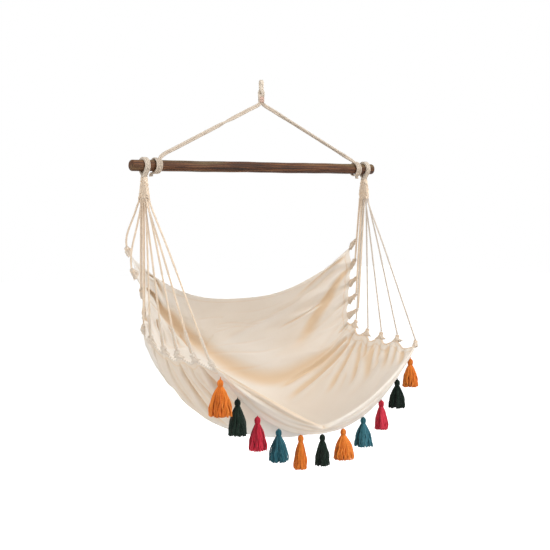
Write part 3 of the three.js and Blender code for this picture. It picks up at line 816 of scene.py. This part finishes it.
def make_bar():
    half = BAR_LENGTH / 2
    ends = []
    for angle in np.linspace(0, math.pi / 2, 9):
        radius = BAR_RADIUS - BAR_END_RADIUS + BAR_END_RADIUS * math.sin(angle)
        ends.append((-half + BAR_END_RADIUS * (1 - math.cos(angle)), radius))
    face = [(-half, radius) for radius in (0.6, 3, 6)]
    straight = half - BAR_END_RADIUS
    middle = [(x, BAR_RADIUS) for x in np.linspace(-straight, straight, 121)[1:-1]]
    profile = np.array(face + ends + middle + [(-x, r) for x, r in reversed(face + ends)])
    x, radius = profile[:, :1], profile[:, 1:]
    angle = around(56)
    uneven = 0.35 * np.sin(x * 0.021 + 2 * np.sin(angle) + 1.1)
    uneven = uneven + 0.22 * np.sin(x * 0.057 + 3 * angle)
    uneven = uneven + 0.1 * np.sin(x * 0.013 + 9 * angle + 0.4)
    reach = radius + (uneven - 0.25) * (radius / BAR_RADIUS)
    points = np.stack([x + BAR_SLIDE + 0 * reach, reach * np.cos(angle), reach * np.sin(angle)], axis=-1)
    parts = Parts()
    parts.rings(points, points, 0.3 * smooth_step(half - 9, half + 1, np.abs(x)))
    parts.piece("grained_bar", WOOD, "bar", ["spreader_bar"])


make_bar()


# Arm loops and clews


def make_arm_loop(side):
    """Three strands side by side in two layers over the bar."""
    parts = Parts()
    start = -0.18 * math.pi
    leg_base = -CLEW_TOP_DROP + 2 * CLEARANCE
    strand = LOOP_THICKNESS / 2
    for layer in range(2):
        leg = CLEARANCE + strand * (layer + 0.5)
        wrap = BAR_RADIUS + leg
        for lane in range(3):
            x = side * ARM_SPREAD + (lane - 1) * LOOP_WIDTH / 3 + (layer - 0.5) * 0.8
            points = [[x, -leg, leg_base], [x, -leg, leg_base + strand]]
            for angle in np.linspace(start, math.pi - start, 25):
                points.append([x, -wrap * math.cos(angle), wrap * math.sin(angle)])
            points += [[x, leg, leg_base + strand], [x, leg, leg_base]]
            line, tone = smooth_path(points, FINE_STEP), 0.6 + 0.05 * (lane - 1)
            parts.tube(line, LOOP_WIDTH / 6 * 0.99, 16, tone=tone, lobes=3, lobe_depth=0.03)
    replaced = [side_name(side, "arm_loop")]
    parts.piece(side_name(side, "strand_loop"), ROPE_SMOOTH, "seat", replaced)


def make_clew(side):
    """Ten strands cross from side to side down a wedge and leave it where the cords start."""
    parts = Parts()
    t = np.linspace(0, 1, 46)
    half = mix(CLEW_TOP_WIDTH, CLEW_BOTTOM_WIDTH, t**0.6) / 2 - CORD_DIAMETER / 2
    down = -CLEW_TOP_DROP - (CLEW_HEIGHT - CORD_DIAMETER / 2) * t
    core = np.stack([np.full_like(t, side * ARM_SPREAD), np.zeros_like(t), down], axis=-1)
    deep = CLEW_DEPTH / 2 - CORD_DIAMETER / 2
    # Painted shade: the core that shows between the strands has a darker tone
    parts.tube(core, deep, 28, tone=0.25, flat=half / deep, lobes=9, lobe_depth=0.08)
    for index in range(TIES):
        _, exit_point, _, _ = tie_points(side, index)
        end_angle = math.acos(1 - 2 * index / (TIES - 1)) * (-1) ** index
        angle = end_angle - 2 * np.pi * (1 - t) * CLEW_TURNS
        x = side * ARM_SPREAD + deep * np.sin(2 * angle)
        path = np.stack([x, half * np.cos(angle), -CLEW_TOP_DROP - CLEW_HEIGHT * t], axis=-1)
        path = smooth_path(path + (exit_point - path[-1]) * smooth_step(0.7, 1, t)[:, None], FINE_STEP)
        tone = 0.75 + 0.05 * (index % 5)
        parts.rope(path, CORD_DIAMETER * 0.96, 2, CLEW_LAY, 8, phase=index, tone=tone, fullness=1.08)
    parts.piece(side_name(side, "woven_clew"), ROPE, "seat", [side_name(side, "clew")])


for side in (-1, 1):
    make_arm_loop(side)
    make_clew(side)


# Gathered tabs with the knotted end of each cord


def gather(u, s):
    """How far the side edges move to the right, in millimetres: the slack left one is drawn inward."""
    left = LEFT_EDGE_DRAW * bell(s - 0.26, 0.16) * np.clip(-u, 0, 1) ** 8
    right = value_between(s, {0: 13, 0.11: 11, 0.22: 6, 0.33: 7, 0.44: 3, 0.56: 2, 0.67: 0})
    return left + right * np.clip(u, 0, 1) ** 8


def make_tab(side, index):
    """Cloth gathered from the side edge to the cord's end, where the knot squeezes it."""
    s = index / (TIES - 1)
    path, edge, meet = cord_route(side, index)
    edge = edge + [gather(side, s), 0, 0]
    front, corner = index >= BUNDLE_TIES, index == TIES - 1
    length = float(np.linalg.norm(meet - edge))
    axis = unit(meet - edge)
    along_edge = unit(sheet_point(side, min(1, s + 0.01)) - sheet_point(side, max(0, s - 0.01)))
    wide = unit(along_edge - axis * (along_edge @ axis))
    deep = np.cross(axis, wide)
    draw = np.random.default_rng([11, index, int(side > 0)])
    loose = side < 0 and index < LOOSE_TIES
    radius = TAB_DIAMETER / 2 * (1.5 if loose else 1.12)
    t = np.linspace(0, 1, 22)[:, None]
    base = 1.5 if corner else 2.3 if front else 1.9
    outline = {0: base, 0.12: 0.85 * base, 0.3: 1.5, 0.55: 1.2, 0.72: 0.9, 0.8: 0.7}
    outline |= {0.88: 0.85, 0.95: 0.95, 1: 0.6}
    widen = mix(2.1 if front and not corner else 1.35, 1.0, smooth_step(0, 0.6, t))
    flatten = mix(0.55, 1.0, smooth_step(0, 0.5, t))
    angle = around(36)
    phase = draw.uniform(0, 6.28)
    pleats = 1 + 0.16 * np.cos(6 * angle + phase + 2.4 * t)
    pleats = pleats + 0.07 * np.cos(11 * angle + 2 * phase - 1.5 * t)
    reach = radius * value_between(t, outline) * pleats
    middle = edge + axis * (t * (length - 0.5)) + deep * (0.8 * np.sin(2.6 * t + phase))
    points = (
        middle[:, None]
        + (reach * widen * np.cos(angle))[..., None] * wide
        + (reach * flatten * np.sin(angle))[..., None] * deep
    )
    fibre = np.stack([angle * radius + 0 * reach, t * length + 0 * reach, 0 * reach], axis=-1)
    parts = Parts()
    # Painted shade: a warmer, darker colour in the hollows between the pleats; the right tabs start from a
    # darker tone
    parts.rings(points, fibre, (0.35 if side > 0 else 0.15) + 0.35 * (1 - pleats / pleats.max()))
    name, replaced = tie_name(side, "gathered_tab", index), [tie_name(side, "tab", index)]
    parts.piece(name, SHADED_TAB_CLOTH, "seat", replaced)
    neck = edge + axis * (length * KNOT_PLACE_SHARE)
    make_knot(side, index, path, neck, (axis, wide, deep), radius, phase, draw)


def make_knot(side, index, path, neck, ways, radius, phase, draw):
    """The cord's turns round the tab's neck and its short tail, and in front the rolled edge of the cloth.

    The left front cords come back doubled from their knots.
    """
    axis, wide, deep = ways
    front, heavy = index >= BUNDLE_TIES, index >= BUNDLE_TIES and side < 0
    knot = Parts()

    def strand(points, step, diameter, tone):
        knot.rope(smooth_path(points, step), diameter, 2, KNOT_LAY, 8, tone=tone)

    t = np.linspace(0, 1, 52)[:, None]
    climb = (FRONT_KNOT_CLIMB if front else KNOT_CLIMB) * (2 * t - 1)
    turn = 2 * np.pi * (2.6 if front else 2.0) * t + phase
    ring = radius * 0.7 + (3 if heavy else 1.4)
    coil = neck + axis * climb + wide * (ring * np.cos(turn)) + deep * (ring * 0.95 * np.sin(turn))
    strand(coil, 1.6, HEAVY_KNOT_CORD if heavy else KNOT_CORD, 0.65)
    out = unit(wide * draw.uniform(-1, 1) + deep * draw.uniform(-1, 1))
    stub = 0.4 if front and side > 0 else 1
    tip = neck + out * (ring + 3.5 * stub) - [0, 0, KNOT_TAIL * stub]
    strand([neck + out * ring, neck + out * (ring + 2.5 * stub) - axis * 2, tip], 1.2, KNOT_TAIL / 2, 0.55)
    if front:
        near = np.linspace(max(BUNDLE_TIES - 0.5, index - 0.5), min(TIES - 1, index + 0.5), 60) / (TIES - 1)
        rim = sheet_point(side, near)
        rim[:, 0] += gather(side, near)
        pucker = np.abs(np.sin(np.pi * distance_along(rim) / RIM_PUCKER_LENGTH + phase))
        # Painted shade: the rolled rim is darker where it is pinched and lighter on its swells
        knot.tube(rim, RIM_RADIUS + 1.5 * pucker, 12, twist=0.3, tone=0.15 + 0.7 * pucker)
    if heavy:
        pull = unit(path[-2] - path[-24])
        doubled = DOUBLED_LENGTH + 14 * draw.uniform(0, 1)
        t = np.linspace(0, 1, 9)[:, None]
        aside = CORD_DIAMETER * 0.95 * value_between(t, {0: 0.6, 0.2: 1, 0.8: 0.8, 1: 0.55})
        for lane in (-1, 1):
            lane_path = path[-1] - pull * (doubled * t) + wide * (lane * aside)
            strand(lane_path, FINE_STEP, CORD_DIAMETER * 0.9, 0.75)
    knot.piece(tie_name(side, "cord_knot", index), ROPE_PALE if heavy else ROPE, "seat")


for side in (-1, 1):
    for index in range(TIES):
        make_tab(side, index)


# Cloth


# Creases on the sitter's side, each a depth and a half width in millimetres, the share of the length
# that keeps the full depth, and u and s along the line. A negative depth is a ridge.
CREASES = [
    (11, 20, 0.5, [
        (1.0, 0.1), (0.917, 0.143), (0.85, 0.239), (0.802, 0.296), (0.762, 0.364), (0.723, 0.415),
        (0.643, 0.462),
    ]),
    (5, 16, 0.5, [(0.97, 0.05), (0.835, 0.036), (0.69, 0.072), (0.548, 0.132)]),
    (4, 8, 0.5, [(0.823, 0.231), (0.697, 0.254), (0.538, 0.272)]),
    (9, 9, 0.5, [(0.968, 0.567), (0.888, 0.567), (0.787, 0.565), (0.642, 0.562), (0.428, 0.58)]),
    (11, 10, 0.5, [(0.972, 0.589), (0.892, 0.598), (0.765, 0.605), (0.572, 0.614), (0.418, 0.629)]),
    (9, 10, 0.5, [(0.972, 0.62), (0.883, 0.646), (0.77, 0.678), (0.61, 0.713)]),
    (8, 10, 0.5, [(0.962, 0.657), (0.887, 0.709), (0.678, 0.797)]),
    (7, 13, 0.4, [(0.982, 0.694), (0.9, 0.74), (0.8, 0.805)]),
    (10, 15, 0.35, [(0.975, 0.74), (0.85, 0.8), (0.722, 0.865)]),
    (6, 13, 0.4, [(0.982, 0.793), (0.768, 0.884)]),
    (9, 15, 0.35, [(0.98, 0.845), (0.75, 0.925)]),
    (6, 13, 0.4, [(0.978, 0.898), (0.777, 0.948)]),
    (8, 12, 0.35, [(0.98, 0.94), (0.777, 0.98)]),
    (16, 7, 0.3, [(1.0, 0.5), (0.92, 0.49)]),
    (14, 7, 0.3, [(1.0, 0.585), (0.91, 0.58)]),
    (8, 8, 0.5, [(-0.87, 0.03), (-0.778, 0.02), (-0.705, 0.055), (-0.635, 0.088)]),
    (12, 8, 0.5, [(-0.83, 0.089), (-0.728, 0.097), (-0.635, 0.127), (-0.545, 0.16)]),
    (7, 6, 0.5, [(-0.828, 0.152), (-0.745, 0.151), (-0.643, 0.151)]),
    (10, 8, 0.5, [(-0.95, 0.32), (-0.862, 0.277), (-0.722, 0.283), (-0.673, 0.299)]),
    (9, 8, 0.5, [(-0.69, 0.198), (-0.565, 0.25), (-0.455, 0.304)]),
    (8, 8, 0.5, [(-0.508, 0.19), (-0.387, 0.242), (-0.278, 0.298)]),
    (7, 8, 0.5, [(-0.298, 0.219), (-0.188, 0.28), (-0.12, 0.324)]),
    (-14, 9, 0.6, [(-0.99, 0.555), (-0.9, 0.55), (-0.79, 0.55), (-0.632, 0.545), (-0.4, 0.56)]),
    (-14, 9, 0.6, [(-0.985, 0.65), (-0.878, 0.655), (-0.758, 0.671), (-0.6, 0.69), (-0.42, 0.7)]),
    (-14, 9, 0.6, [(-0.99, 0.745), (-0.895, 0.747), (-0.772, 0.756), (-0.6, 0.755), (-0.4, 0.76)]),
    (-13, 9, 0.6, [(-0.985, 0.82), (-0.883, 0.819), (-0.765, 0.825), (-0.6, 0.82), (-0.4, 0.82)]),
    (-10, 9, 0.6, [(-0.975, 0.9), (-0.847, 0.88), (-0.738, 0.871), (-0.6, 0.87)]),
]
# The long hollow where the back turns into the seat
VALLEY = [
    (13, 36, 0.9, [
        (-0.72, 0.125), (-0.518, 0.149), (-0.365, 0.185), (-0.068, 0.276), (0.163, 0.377), (0.322, 0.45),
        (0.44, 0.504), (0.562, 0.534), (0.69, 0.546), (0.808, 0.562), (0.91, 0.574), (0.96, 0.575),
    ]),
]
CREASE_SPAN = (430, 1000)
CREASE_STEP = 16


def crease_field(u, s, creases):
    """Height of the drawn creases, each a groove with a low swell on both sides and faded ends."""
    x, y = u * CREASE_SPAN[0], s * CREASE_SPAN[1]
    height = np.zeros_like(x)
    for depth, width, hold, line in creases:
        knots = [(a * CREASE_SPAN[0], b * CREASE_SPAN[1], 0) for a, b in line]
        route = smooth_path(knots, CREASE_STEP)[:, :2]
        low, high = route.min(axis=0) - 5 * width, route.max(axis=0) + 5 * width
        near = (x > low[0]) & (x < high[0]) & (y > low[1]) & (y < high[1])
        place = np.stack([x[near], y[near]], axis=-1)
        best, along = np.full(len(place), np.inf), np.zeros(len(place))
        last = len(route) - 1
        for i in range(last):
            start, run = route[i], route[i + 1] - route[i]
            t = np.clip(((place - start) @ run) / (run @ run), 0, 1)
            gap = np.linalg.norm(place - start - t[:, None] * run, axis=1)
            closer = gap < best
            best = np.where(closer, gap, best)
            along = np.where(closer, (i + t) / last, along)
        spread = width * (0.75 + 0.5 * along)
        fade = smooth_step(0, 0.1, along) * (1 - smooth_step(hold, 1, along))
        height[near] -= depth * fade * (bell(best, spread) - 0.3 * bell(best - 2 * spread, spread))
    return height


def cloth_detail(u, s, side):
    """Height of the small folds above the plain surface, in millimetres, positive toward the sitter."""
    inward = 1 - np.abs(u)
    draw = np.random.default_rng([5, 1 if side > 0 else 0])
    height = np.zeros_like(u)

    def fold(size, line, spread, fade):
        return size * bell(s - line, spread) * fade

    for index in range(TIES):
        for number in range(6):
            lean = draw.uniform(-0.7, 0.7)
            width = draw.uniform(0.01, 0.018)
            reach = draw.uniform(0.25, 0.75)
            size = draw.uniform(1.2, 3.2) * (1 if number % 2 else -1)
            start = index / (TIES - 1) + 0.008 * (number - 2.5)
            line = start + lean * inward * 0.45 + 0.015 * np.sin(8 * inward + index + number)
            fade = bell(inward, reach) * smooth_step(0, 0.03, inward)
            height += fold(size, line, width * (1 + 2.6 * inward), fade)
    for _ in range(10):
        level = draw.uniform(0.08, 0.6)
        lean = draw.uniform(-0.12, 0.12)
        middle = draw.uniform(0.0, 0.5)
        size = draw.uniform(0.6, 1.4)
        line = level + lean * inward + 0.008 * np.sin(11 * inward + 6 * level)
        height -= fold(size, line, 0.007, bell(1 - inward - middle, 0.25))
    phase = s * (TIES - 1) + 0.25 * np.sin(5 * inward + 3 * s)
    pleat = 0.6 - np.abs(np.sin(np.pi * phase)) ** 0.6
    pleat *= bell(inward, 0.33) * smooth_step(0, 0.06, inward)
    return height + FRONT_PLEAT * pleat * smooth_step(0.42, 0.56, s) * (1 - smooth_step(0.93, 1, s))


def apron_detail(u, share):
    """Height of the rolls that run along the apron from the knots toward its middle."""
    across = np.abs(u)
    rolls = np.sin(2 * np.pi * (1.7 * share + 0.35 * across + 0.1 * np.sin(5 * u)))
    fine = np.sin(2 * np.pi * (3.6 * share - 0.8 * across + 0.15 * np.sin(9 * u + 1)))
    heavier = mix(1, 1.6, smooth_step(0, 0.2, -u))
    across_fade = (1 - across**6) * smooth_step(0.02, 0.25, across)
    down_fade = np.sin(np.pi * np.clip(share, 0, 1)) ** 0.7 * mix(1, 0.1, smooth_step(0.45, 0.8, share))
    return (APRON_ROLL * rolls + APRON_ROLL / 2 * fine) * heavier * across_fade * down_fade


def slopes(surface):
    down, right = np.gradient(surface, axis=(0, 1))
    return down, right, unit(np.cross(down, right))


def summed(steps, axis):
    return np.cumsum(np.linalg.norm(steps, axis=-1), axis=axis)


def edge_distance(down, right):
    """Distance of each point of the cloth from its nearest edge."""
    across, along = summed(right, 1), summed(down, 0)
    sides = np.minimum(across, across[:, -1:] - across)
    return np.minimum(sides, np.minimum(along - along[:1], along[-1:] - along))


def cloth_painted_shade(bend, stitched, drawn, valley, u, s, fold_share):
    """Tone on the sitter's side and on the outside: painted shade, warmer and darker in folds, creases and
    the long hollow and over parts of the seat, lip and belly by place, and warmer along the stitch lines.
    """
    rows = len(drawn)
    inner = np.clip(-bend * 1.2, 0, 0.25) + stitched
    inner[:rows] += np.clip(-drawn / 12, 0, 0.75) + np.clip(-valley / 13, 0, 1) * 0.75
    # Painted shade by place: the lower seat, the inner right side, the lip's apron and the outer left belly
    inner[:rows] += 0.32 * smooth_step(0.4, 0.65, s)
    inner[:rows] += 0.25 * smooth_step(0.4, 0.75, u) * (1 - smooth_step(0.4, 0.6, s))
    near_fold = mix(0.85, 0.35, smooth_step(0, 0.5, fold_share))[:, None]
    inner[rows:] += mix(0.25, near_fold, smooth_step(-0.15, 0.15, -u[:1]))
    outer = np.clip(bend * 1.2, 0, 0.25) + stitched
    outer[:rows] += np.clip(drawn / 12, 0, 0.75)
    outer[:rows] += 0.55 * smooth_step(0.35, 0.6, s) * smooth_step(0.2, 0.6, -u)
    return np.clip(np.stack([inner, outer]), 0, 0.95)


def make_cloth():
    """One sheet from the back's top edge over the seat and the lip to the hem."""
    columns, rows, fold_rows = 341, 281, 26
    row_u = np.sin(np.linspace(-1, 1, columns) * COLUMN_SPREAD) / math.sin(COLUMN_SPREAD)
    u, s = np.meshgrid(row_u, np.linspace(0, 1, rows))
    fold_share = np.linspace(0, 1, fold_rows + 1)[1:]
    body = sheet_point(u, s)
    body[..., 0] += gather(u, s)
    surface = np.concatenate([body, [apron_point(row_u, share) for share in fold_share]])
    drawn, valley = crease_field(u, s, CREASES), crease_field(u, s, VALLEY)
    detail = np.where(u < 0, cloth_detail(u, s, -1), cloth_detail(u, s, 1)) + drawn + valley
    detail = np.concatenate([detail, apron_detail(row_u, fold_share[:, None])])
    down, right, normal = slopes(surface)
    band = edge_distance(down, right)
    hem = HEM_THICKNESS * (1 - smooth_step(HEM_BAND - 1.5, HEM_BAND + 1, band))
    hem[rows:] *= 0.3
    stitch = STITCH_DEPTH * bell(band - HEM_BAND + STITCH_INSET, 1.6)
    surface = surface + normal * (detail + hem - stitch)[..., None]
    down, right, normal = slopes(surface)
    across, along = summed(right, 1), summed(down, 0)
    middle = columns // 2
    fibre = np.stack([across - across[:, middle : middle + 1], along, 0 * along], axis=-1).reshape(-1, 3)
    bend = np.einsum("ijk,ijk->ij", np.gradient(normal, axis=1), unit(right))
    bend += np.einsum("ijk,ijk->ij", np.gradient(normal, axis=0), unit(down))
    stitched = 0.3 * bell(band - HEM_BAND, 2.2)
    painted_tones = cloth_painted_shade(bend, stitched, drawn, valley, u, s, fold_share)
    points = np.stack([surface, surface - normal * SEEN_THICKNESS]).reshape(-1, 3)
    count = band.size
    at = np.arange(count).reshape(band.shape)
    front = np.stack([at[:-1, :-1], at[1:, :-1], at[1:, 1:], at[:-1, 1:]], axis=-1).reshape(-1, 4)
    border = np.concatenate([at[0, :-1], at[:-1, -1], at[-1, :0:-1], at[:0:-1, 0]])
    after = np.roll(border, -1)
    rim = np.stack([border, after, after + count, border + count], axis=-1)
    parts = Parts()
    quads = np.concatenate([front, front[:, ::-1] + count, rim])
    parts.add(points, quads, [], np.concatenate([fibre, fibre]), painted_tones.ravel())
    obj = parts.piece("hung_cloth", CLOTH, "seat", ["seat_cloth"])


make_cloth()


# Tassels


def tassel_place(index):
    step = index - (TASSEL_COUNT - 1) / 2
    share = TASSEL_PLACE[int(abs(step))] * np.sign(step)
    hem, near, aside = hem_point(share), hem_point(abs(share)), hem_point(abs(share) + 0.01)
    slope = (aside[2] - near[2]) / (aside[0] - near[0])
    thread = TASSEL_THREAD_DIAMETER / 2
    hem[1] += CLOTH_THICKNESS / 2
    hem[2] -= (thread + CLEARANCE) * math.hypot(1, slope) - thread + CLOTH_THICKNESS * abs(share) ** 8
    return hem


def make_thread(parts, head_top):
    ends = [[0, 0, -0.4], [0.3, 0, -head_top * 0.5], [0, 0, -head_top - 2]]
    thread = smooth_path(ends, 0.5)
    radius = value_between(-thread[:, 2], {0.4: 0.35, 1.5: 0.6, 2.8: TASSEL_THREAD_DIAMETER / 2})
    parts.tube(thread, radius, 10, twist=1.05, lobes=2, lobe_depth=0.2)


def make_head(parts, head_top, head_base, draw):
    """A bulb of yarns from the thread down to the neck, with the binding round the neck."""
    head, neck = TASSEL_HEAD_DIAMETER / 2, TASSEL_NECK_DIAMETER / 2
    t = np.linspace(0, 1, 12)
    bulb = {0: HEAD_TIP, 0.12: head * 0.54, 0.3: head * 0.76, 0.55: head * 0.82}
    bulb |= {0.8: head * 0.74, 1: neck * 0.8}
    radius = value_between(t, bulb)
    z = -mix(head_top - 2.5, head_base + 1, t)
    for k in range(HEAD_YARNS):
        turn = 2 * math.pi * (k + draw.uniform(-0.2, 0.2)) / HEAD_YARNS + 0.15 * t
        path, tone = smooth_path(turned(radius, turn, z), 1.4), draw.uniform(0.2, 0.8)
        parts.tube(path, HEAD_YARN, 6, twist=1.1, tone=tone, lobes=2, lobe_depth=0.1)
    t = np.linspace(0, 1, 22 * BINDING_TURNS)
    binding = turned(neck + 0.4, 2 * np.pi * BINDING_TURNS * t, 3 - head_base - 5.2 * t)
    parts.tube(binding, BINDING_YARN, 6, twist=1.2, tone=0.35)


def make_skirt(parts, head_base, length, skirt, draw):
    """Yarns in locks that flare from the neck and end a little unevenly."""
    neck = TASSEL_NECK_DIAMETER / 2
    lock_angle = 2 * np.pi * (np.arange(LOCKS) + draw.uniform(-0.25, 0.25, LOCKS)) / LOCKS
    lock_reach = draw.uniform(0.93, 1.08, LOCKS)
    lock_sway = draw.uniform(-0.08, 0.08, LOCKS)
    lock_tone = draw.uniform(0.35, 0.8, LOCKS)
    t = np.linspace(0, 1, 26)
    flare = np.sin(np.pi / 2 * np.minimum(1, t * 1.12)) ** 0.9
    width = value_between(t, {0: 1.2, 0.2: 1.8, 0.9: 2.0, 1: 1.5})
    for k in range(LOCKS * LOCK_YARNS):
        lock = k % LOCKS
        layer = draw.uniform(0.1, 1) ** 0.55
        angle = lock_angle[lock] + draw.uniform(-1, 1) * 4 / LOCKS
        angle_end = mix(angle, lock_angle[lock], 0.2) + lock_sway[lock]
        reach = skirt * lock_reach[lock] * layer - 1.6
        radius = mix(neck * 0.75 * layer + 0.6, reach, flare)
        radius = radius + 1.3 * np.sin(11 * t + draw.uniform(0, 6.28)) * t
        wave = 0.07 * np.sin(13 * t + draw.uniform(0, 6.28)) * smooth_step(0.1, 0.5, t)
        turn = mix(angle, angle_end, smooth_step(0.1, 1, t)) + wave
        bottom = length - draw.uniform(0, 8) * draw.uniform(0.1, 1)
        path = turned(radius, turn, -mix(head_base - 1, bottom, t))
        # Painted shade: yarns deeper inside the skirt get a darker tone
        tone = np.clip(lock_tone[lock] + draw.uniform(-0.25, 0.25) - 0.5 * (1 - layer), 0, 1)
        parts.tube(path, width, 6, twist=0.9, tone=tone, lobes=2, lobe_depth=0.14)


def make_tassel(index):
    aside = abs(2 * index / (TASSEL_COUNT - 1) - 1)
    head_top = TASSEL_THREAD_LENGTH + TASSEL_THREAD_GAIN * aside**2
    head_base = head_top + TASSEL_HEAD_DIAMETER * 0.85
    skirt = TASSEL_SKIRT_DIAMETER / 2 * TASSEL_WIDTHS[index]
    draw = np.random.default_rng([23, index])
    parts = Parts()
    make_thread(parts, head_top)
    make_head(parts, head_top, head_base, draw)
    make_skirt(parts, head_base, TASSEL_LENGTH * TASSEL_LENGTHS[index], skirt, draw)
    place = tassel_place(index)
    parts.points = [points + place for points in parts.points]
    name, colour = f"tassel_{index + 1:02d}", TASSEL_COLOURS[index]
    parts.piece(f"yarn_{name}", YARNS[colour], name, [name])


for index in range(TASSEL_COUNT):
    make_tassel(index)


# Studio


def make_floor():
    size, drop = 14.0, -1.62
    mesh = bpy.data.meshes.new("floor")
    corners = [(-size, -size, drop), (size, -size, drop), (size, size, drop), (-size, size, drop)]
    mesh.from_pydata(corners, [], [(0, 1, 2, 3)])
    floor = placed("floor", mesh)
    f = Finish("floor_paper")
    glow = {"Emission Color": (1, 1, 1, 1), "Emission Strength": f.math("MULTIPLY", f.seen(), 0.9)}
    mesh.materials.append(f.look((0.86, 0.86, 0.86, 1), 0.95, 0.1, **glow))


def make_world():
    """White where it is seen, and a dim light where it isn't."""
    world = bpy.data.worlds.new("studio")
    bpy.context.scene.world = world
    f = Nodes(world)
    dim, white = (f.node("ShaderNodeBackground", Strength=s, Color=(1, 1, 1, 1)) for s in (0.26, 1.0))
    both = f.node("ShaderNodeMixShader", i0=f.seen(), i1=dim.outputs[0], i2=white.outputs[0])
    f.node("ShaderNodeOutputWorld", Surface=both.outputs[0])


LAMP_AIM = (0, 0, -0.7)


def make_lamp(name, place, size, power):
    """A square lamp that shines at the seat."""
    data = bpy.data.lights.new(name, "AREA")
    data.shape, data.size, data.energy = "SQUARE", size, power
    ahead = unit(np.array(LAMP_AIM) - place)
    placed(name, data).matrix_world = facing(place, ahead, unit(np.cross(ahead, [0, 0, 1])))


make_floor()
make_world()
make_lamp("key", (2.4, -3.8, 1.2), 2.6, 119)
make_lamp("fill", (-3.8, -0.6, 0.3), 2.0, 58)
make_lamp("top", (0, -2.0, 2.8), 2.6, 77)
make_lamp("behind", (0.6, 4.2, -0.7), 2.6, 70)
bpy.context.scene.view_settings.view_transform = "Standard"
